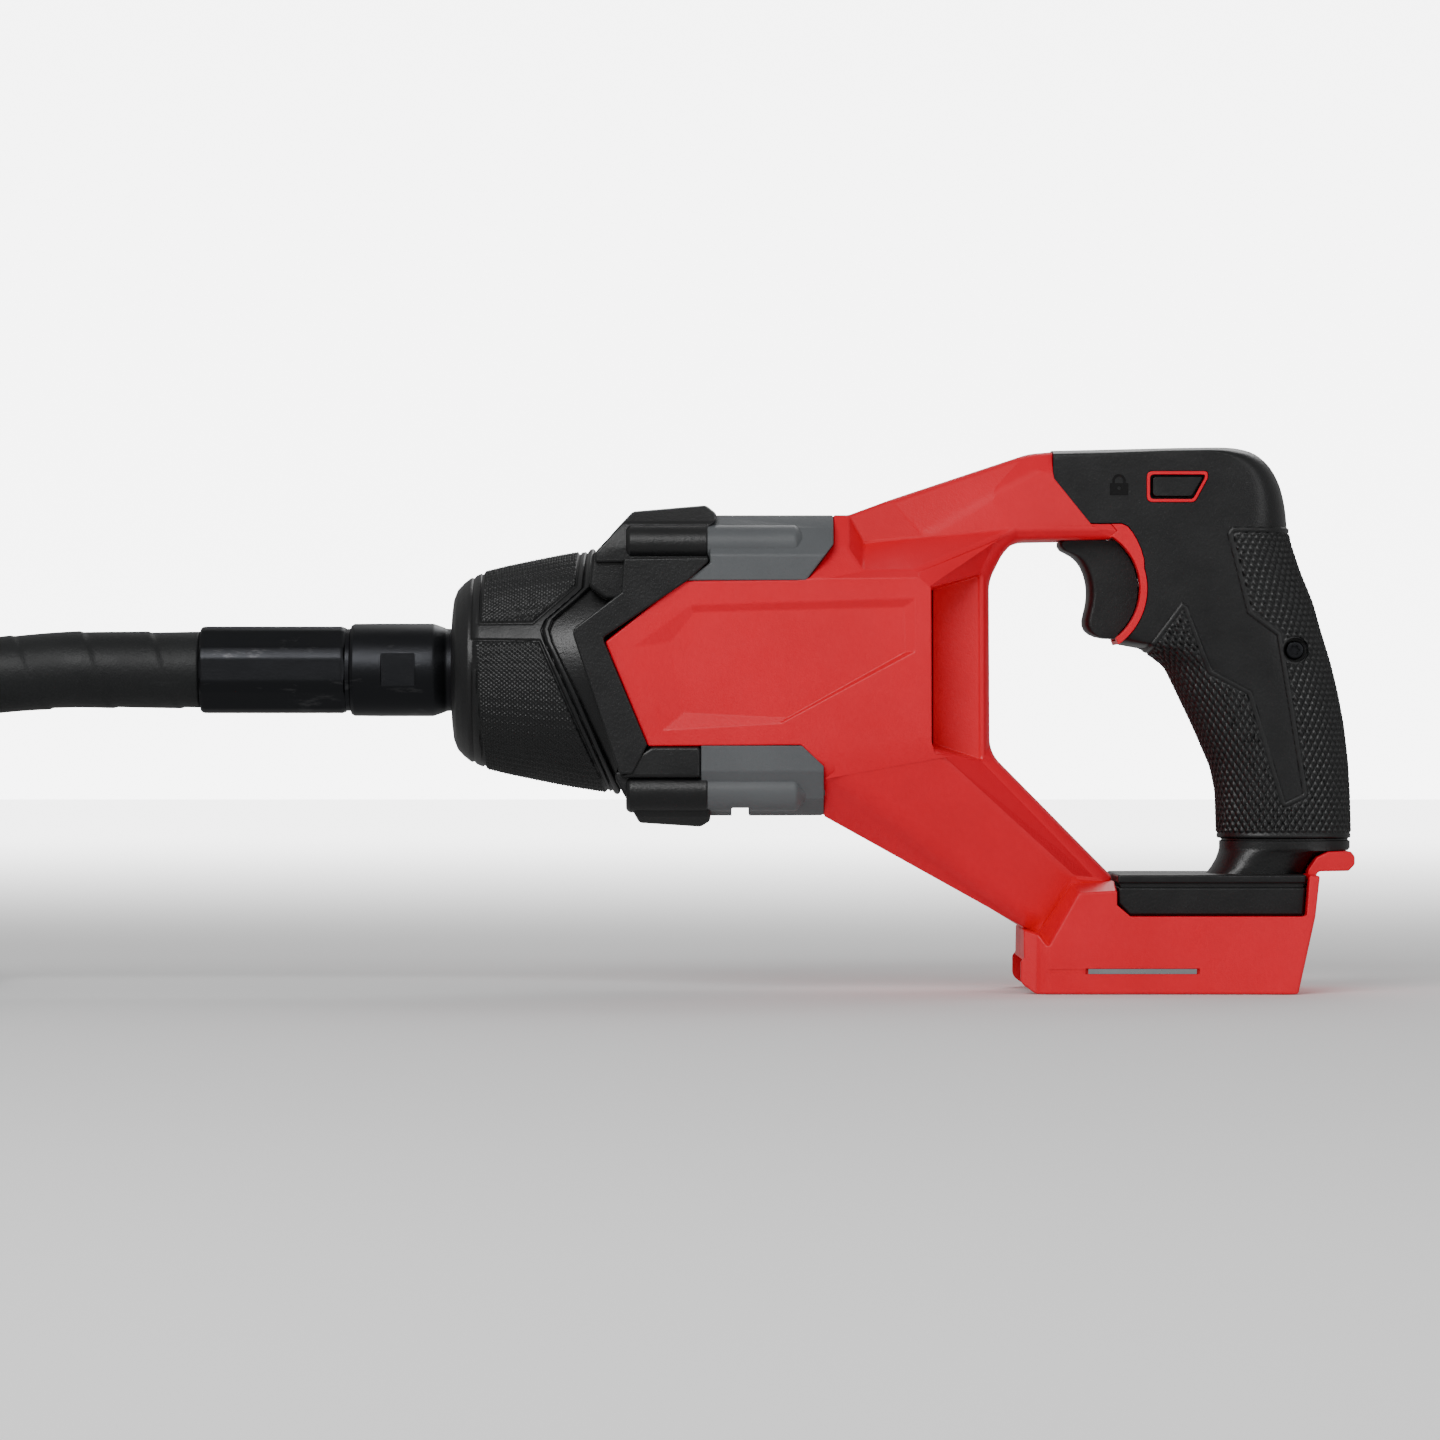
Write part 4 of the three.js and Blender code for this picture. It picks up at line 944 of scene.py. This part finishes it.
GRIP_DIAMOND = (2.8, 4.6)  # around the handle, up it
GRIP_SKIN, GRIP_BORDER, GRIP_GRAIN, GRIP_DEPTH = 0.20, 0.55, 0.85, 0.9  # heights over the handle, depth in it
HANDLE_SCREW = (52.4, 136.8)
BEZEL = {"x": -34.6, "z": 161.4, "inner": 24.8, "outer": 27.6}


def bezel_arc(radius, turns):
    return [(BEZEL["x"] + radius * math.cos(t), BEZEL["z"] + radius * math.sin(t)) for t in turns]


def bezel_outer(gap, start):
    """The outer edge of the trigger's red rim, which widens towards its top."""
    top = [(-8.3, 173.0), (-9.5, 177.2), (-11.2, 181.0), (-12.9, 183.9), (-14.8, 186.2 + gap)]
    return bezel_arc(BEZEL["outer"] + gap, np.linspace(start, 0.3, 22)) + [(x + gap, z) for x, z in top]


def handle_rows(stations, spacing, smoothing):
    """Stations resampled to an even spacing and smoothed along their length."""
    table = np.array(stations, float)
    steps = np.hypot(*np.diff((table[:, 0:2] + table[:, 2:4]) / 2, axis=0).T)
    along = np.concatenate([[0.0], np.cumsum(np.maximum(steps, 0.5))])
    marks = np.linspace(0, along[-1], int(along[-1] / spacing) + 1)
    rows = np.stack([np.interp(marks, along, table[:, k]) for k in range(7)], 1)
    for _ in range(smoothing):
        rows[1:-1] = (rows[:-2] + 2 * rows[1:-1] + rows[2:]) / 4
    return rows


def handle_ring(row, corner, flat):
    """Points of one half section, from its inner end round to its outer end."""
    inner, outer = np.array([row[0], row[1]]), np.array([row[2], row[3]])
    length = np.linalg.norm(outer - inner)
    width, inner_r, outer_r = row[4], min(row[5], 0.46 * length), min(row[6], 0.5 * length)
    turn = np.linspace(0, math.pi / 2, corner)
    run, rise = 1 - np.cos(turn) ** (2 / 2.2), np.sin(turn) ** (2 / 2.2)
    start = np.linspace(inner_r, length - outer_r, flat + 2)[1:-1]
    place = np.concatenate([inner_r * run, start, (length - outer_r * run)[::-1]])
    depth = np.concatenate([width * rise, np.full(flat, width), (width * rise)[::-1]])
    points = inner + np.outer(place / length, outer - inner)
    return np.stack([points[:, 0], -np.maximum(depth, SEAM), points[:, 1]], 1)


def handle_body():
    """The left half of the handle, with its bays, before it is mirrored."""
    rings = [handle_ring(row, 12, 3) for row in NECK_STATIONS]
    rings += [handle_ring(row, 12, 3) for row in handle_rows(COLUMN_STATIONS, 1.6, 3)]
    body = loft("handle", [[tuple(p) for p in ring] for ring in rings], BLACK)
    band = bezel_outer(0.3, -1.1) + [(-17.0, 187.7)]
    return carved(
        body,
        prism("front", band + HANDLE_FRONT, -60, 5, BLACK),
        block("trigger_bay", (-50, -11.2, 140.6), (2, 5, 182), BLACK),
        block("switch_bay", (1, -11.0, 146), (30, 5, 183), BLACK),
        prism("wires", [(28, 150), (42, 150), (58, 110), (60, 70), (60, 50), (32, 50), (34, 70), (28, 110)],
              -9, 5, BLACK),
        prism("lock", rounded(LOCK_POCKET, 2.6), -60, -12.6, BLACK),
        prism("guide", rounded(LOCK_GUIDE, 1.7), -60, 5, BLACK),
    )


LOCK_RIM = [(-7.2, 196), (12, 196), (17.2, 205.6), (17.2, 208.4), (-7.2, 208.4)]
LOCK_POCKET = [(-7.4, 195.8), (12.2, 195.8), (17.4, 205.5), (17.4, 208.6), (-7.4, 208.6)]
LOCK_RIM_INNER = [(-6.0, 197.2), (11.3, 197.2), (16.0, 205.7), (16.0, 207.1), (-6.0, 207.1)]
LOCK_GUIDE = [(-5.0, 198.2), (10.8, 198.2), (14.8, 205.4), (14.8, 206.2), (-5.0, 206.2)]
LOCK_SLIDER = [(-4.8, 198.4), (10.6, 198.4), (14.6, 205.4), (14.6, 206.0), (-4.8, 206.0)]
FOOT_BASE = [(-19.6, 42.2), (-19.6, 35.9), (-15.2, 31.1), (54.0, 31.1), (55.0, 42.2)]
FOOT_SLAB = [(-19.9, 43.8), (-19.9, 47.2), (55.4, 47.2), (55.2, 43.8)]
FOOT_COVER_W = 34.0


def foot_cover_half():
    """The black cover over the battery base: a lower tray, a dark joint line and a top slab."""
    base = prism("base", FOOT_BASE, -FOOT_COVER_W, -SEAM, BLACK, 0.9)
    core = prism("core", [(-18.6, 41), (-18.6, 45), (54.2, 45),
                 (54.0, 41)], -FOOT_COVER_W + 1.2, -SEAM, BLACK)
    slab = prism("slab", FOOT_SLAB, -FOOT_COVER_W - 0.2, -SEAM, BLACK, 0.9)
    return carved(base, core, slab, operation="UNION")


def evenly_spaced(points, count):
    """The same line of points, resampled to equal steps."""
    along = np.concatenate([[0.0], np.cumsum(np.linalg.norm(np.diff(points, axis=0), axis=1))])
    marks = np.linspace(0, along[-1], count)
    return np.stack([np.interp(marks, along, points[:, k]) for k in range(3)], 1)


def grip_half():
    """A thin rubber skin on the handle: a raised border and rows of small pyramids."""
    rows = handle_rows(COLUMN_STATIONS[:13], 0.45, 30)
    grid = np.array([evenly_spaced(handle_ring(row, 64, 8), 220) for row in rows])
    forward = np.gradient(grid, axis=0)
    around = np.gradient(grid, axis=1)
    normal = np.cross(forward, around)
    normal /= np.maximum(np.linalg.norm(normal, axis=2, keepdims=True), 1e-9)
    if normal[len(rows) // 2, grid.shape[1] // 2, 1] > 0:
        normal = -normal
    arcs = np.concatenate([np.zeros((len(rows), 1)),
                           np.cumsum(np.linalg.norm(np.diff(grid, axis=1), axis=2), axis=1)], 1)
    arcs = arcs[:, -1:] - arcs
    x, z = grid[:, :, 0], grid[:, :, 2]
    depth = inside_distance(GRIP_OUTLINE, x, z)
    border = smoothstep(depth, 0.0, 0.5) * smoothstep(2.3 - depth, 0.0, 0.5)
    field = diamonds(arcs, z, *GRIP_DIAMOND, sharp=1.9)
    lift = GRIP_SKIN + GRIP_BORDER * border + smoothstep(depth, 2.2, 2.8) * GRIP_GRAIN * field
    outside = grid + normal * lift[:, :, None]
    inside = grid - normal * GRIP_DEPTH
    for skin in (outside, inside):
        skin[:, :, 1] = np.minimum(skin[:, :, 1], -SEAM)
        skin[:, 0, 1] = -SEAM
        skin[:, -1, 1] = -SEAM
    rings = [[tuple(p) for p in a] + [tuple(p) for p in b[::-1]] for a, b in zip(outside, inside[:, ::6])]
    grip = loft("grip", rings, RUBBER)
    return carved(grip, prism("outline", GRIP_OUTLINE, -60, 5, RUBBER), operation="INTERSECT")


def make_handle():
    screw = (*HANDLE_SCREW, -40.0, -11.6)
    for side, word in ((LEFT, "left"), (RIGHT, "right")):
        shell = carved(handle_body(), foot_cover_half(), operation="UNION")
        grip = grip_half()
        if side == LEFT:
            shell = carved(shell, cylinder_y(*screw, 5.0, BLACK))
            grip = carved(grip, cylinder_y(*screw, 5.6, RUBBER))
        else:
            shell, grip = mirrored(shell), mirrored(grip)
        placed(shell, f"{word}_handle_shell", "black_plastic", f"{word}_handle", crease=34)
        placed(grip, f"{word}_grip_cover", "grip_rubber", f"{word}_grip", crease=75)


# ---- Trigger, bezels, lock button and screws ----

TRIGGER_FACE = [  # x, z, and how far the rounded front draws back at the sides
    (-18, 181.0, 0), (-30, 181.0, 1), (-40.5, 180.9, 2), (-42.3, 180.2, 2), (-42.3, 178.6, 2.2),
    (-41.3, 177.0, 2.6), (-39.0, 175.8, 3.2), (-36.6, 174.4, 3.8), (-34.6, 172.6, 4), (-33.0, 170.2, 4),
    (-31.8, 167.4, 4), (-31.0, 164.4, 4), (-30.6, 161.4, 4), (-30.6, 158.4, 4), (-31.0, 155.0, 4),
    (-31.8, 151.6, 4), (-32.4, 148.8, 4), (-32.3, 146.6, 3.8), (-31.3, 144.6, 3.4), (-29.6, 143.2, 2.8),
    (-27.2, 142.2, 1.6), (-24, 141.6, 0.6), (-19, 141.4, 0),
]
TRIGGER_W = 10.0
TRIGGER_GAP = 0.5
BEZEL_Y = 19.8
LOCK_RIM_Y = (13.0, 19.6)
LOCK_SLIDER_Y = 20.4
SPRING_BORE = {"front": -30.2, "r": 4.6, "z": 164.0}


def make_trigger():
    """The finger blade, rounded across its front, with a bore for its return spring."""
    back = [(x, z, 0) for x, z in bezel_arc(BEZEL["inner"] - TRIGGER_GAP, np.linspace(-0.82, 0.8, 14))]
    rings = []
    for turn in np.linspace(-math.pi / 2, math.pi / 2, 25):
        across = TRIGGER_W * math.sin(turn)
        drawn = 1 - math.cos(turn) ** 0.8
        rings.append([(x + drawn * draw, across, z) for x, z, draw in TRIGGER_FACE + back])
    trigger = loft("trigger_blade", rings, BLACK)
    front, radius, z = SPRING_BORE.values()
    trigger = carved(trigger, cylinder_x(front, 4.0, 0.0, z, radius, BLACK, 32))
    placed(trigger, "trigger_blade", "black_plastic", "trigger", body="trigger", crease=40)


def make_bezel():
    """The red rim behind the trigger."""
    band = bezel_outer(0.0, -0.95) + [(-17.2, 187.3), (-21.5, 187.3), (-19.1, 184.5), (-22.4, 181.7)]
    band += bezel_arc(BEZEL["inner"], np.linspace(0.98, -0.92, 40))
    bezel = prism("trigger_rim", band, -BEZEL_Y, BEZEL_Y, RED, 0.7, angle=40)
    bezel = carved(bezel, block("bay", (-60, -10.7, 140.6), (10, 10.7, 182), RED))
    placed(bezel, "trigger_rim", "red_plastic", "trigger_bezel", crease=34)


def make_lock():
    """The lock-off bolt across the handle and the red rim round each of its ends."""
    for side, word in ((LEFT, "left"), (RIGHT, "right")):
        low, high = sorted(side * y for y in LOCK_RIM_Y)
        rim = prism("rim", rounded(LOCK_RIM, 2.4), low, high, RED, 0.4, angle=40)
        rim = carved(rim, prism("hole", rounded(LOCK_RIM_INNER, 1.8), -60, 60, RED))
        placed(rim, f"{word}_lock_rim", "red_plastic", f"{word}_lock_bezel")

    outline = rounded(LOCK_SLIDER, 1.6)
    button = prism("lock_slider", outline, -LOCK_SLIDER_Y, LOCK_SLIDER_Y, BLACK, 0.9, segments=5, angle=50)
    placed(button, "lock_slider", "black_plastic", "lock_button", body="lock_button")


def star(radius, depth, steps=48):
    """A six-lobed drive recess."""
    turns = [2 * math.pi * k / steps for k in range(steps)]
    return [((radius - depth * (0.5 - 0.5 * math.cos(6 * t))) * math.cos(t),
             (radius - depth * (0.5 - 0.5 * math.cos(6 * t))) * math.sin(t)) for t in turns]


def torx_screw(name, node, place, axis, head, radius, shank_end):
    """A pan-head screw; head and shank_end are places along the axis, the head faces away from the shank."""
    out = 1 if head > shank_end else -1
    profile = [(head, radius - 1.1), (head - out * 0.4, radius - 0.35), (head - out * 1.2, radius),
               (head - out * 2.8, radius), (head - out * 2.9, 1.8), (shank_end, 1.8)]
    screw = lathe("screw", profile, GUNMETAL, place, 48, axis)
    low, high = sorted((head + out, head - out * 1.5))
    recess = [(place[0] + a, place[1] + b) for a, b in star(radius * 0.58, radius * 0.15)]
    screw = carved(screw, prism("recess", recess, low, high, GUNMETAL, axis=axis))
    placed(screw, name, "black_steel", node, crease=30)


def make_screws():
    torx_screw("handle_torx_screw", "handle_screw", HANDLE_SCREW, "y", -14.5, 3.8, 8.0)
    for k, place in enumerate(HOUSING_SCREWS, 1):
        torx_screw(f"housing_torx_screw_{k}", f"housing_screw_{k}", place, "y", 19.0, 3.6, -13.0)
    for k in range(1, 5):
        low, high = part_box(f"nose_screw_{k}")
        y, z = (low[1] + high[1]) / 2 / MM, (low[2] + high[2]) / 2 / MM
        torx_screw(f"nose_torx_screw_{k}", f"nose_screw_{k}", (y, z), "x", -206.0, 4.0, -150.0)


PADLOCK_BODY = [(-22.0, 198.8), (-14.7, 198.8), (-14.7, 203.6), (-22.0, 203.6)]
PADLOCK_CENTRE = (-18.35, 203.6)
PADLOCK_Y = (-19.5, -18.6)


def make_icon():
    """A closed padlock, inlaid flush in the left side of the handle beside the lock button."""
    body = prism("lock_symbol", PADLOCK_BODY, *PADLOCK_Y, ICON)
    x, z = PADLOCK_CENTRE
    shackle = arc(x, z + 0.9, 2.7, 0, 180, 16) + arc(x, z + 0.9, 1.7, 180, 0, 16)
    shackle = [(x + 2.7, z - 0.3)] + shackle[:17] + [(x - 2.7, z - 0.3), (x - 1.7, z - 0.3)] + shackle[17:]
    shackle += [(x + 1.7, z - 0.3)]
    body = carved(body, prism("shackle", shackle, *PADLOCK_Y, ICON), operation="UNION")
    hole = arc(x, 201.6, 0.75, 0, 360, 16)[:-1]
    body = carved(body, prism("keyhole", hole, -30, -10, ICON))
    crisp(body)
    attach(body, "tool")


# ---- The model ----

def finish_materials():
    """Gives each CAD piece that stays the material of its slot."""
    for row in frame["record"]["subparts"]:
        for slot in frame["nodes"][row["node"]].material_slots:
            slot.material = SLOT_MATERIALS[row["material_slot"]]


make_stage()
hose, path, hose_length = make_hose()
ferrule = make_ferrule()
make_coupling()
make_boot()
make_shells()
make_front_housing()
make_guards()
make_handle()
make_trigger()
make_bezel()
make_lock()
make_screws()
make_icon()
finish_materials()
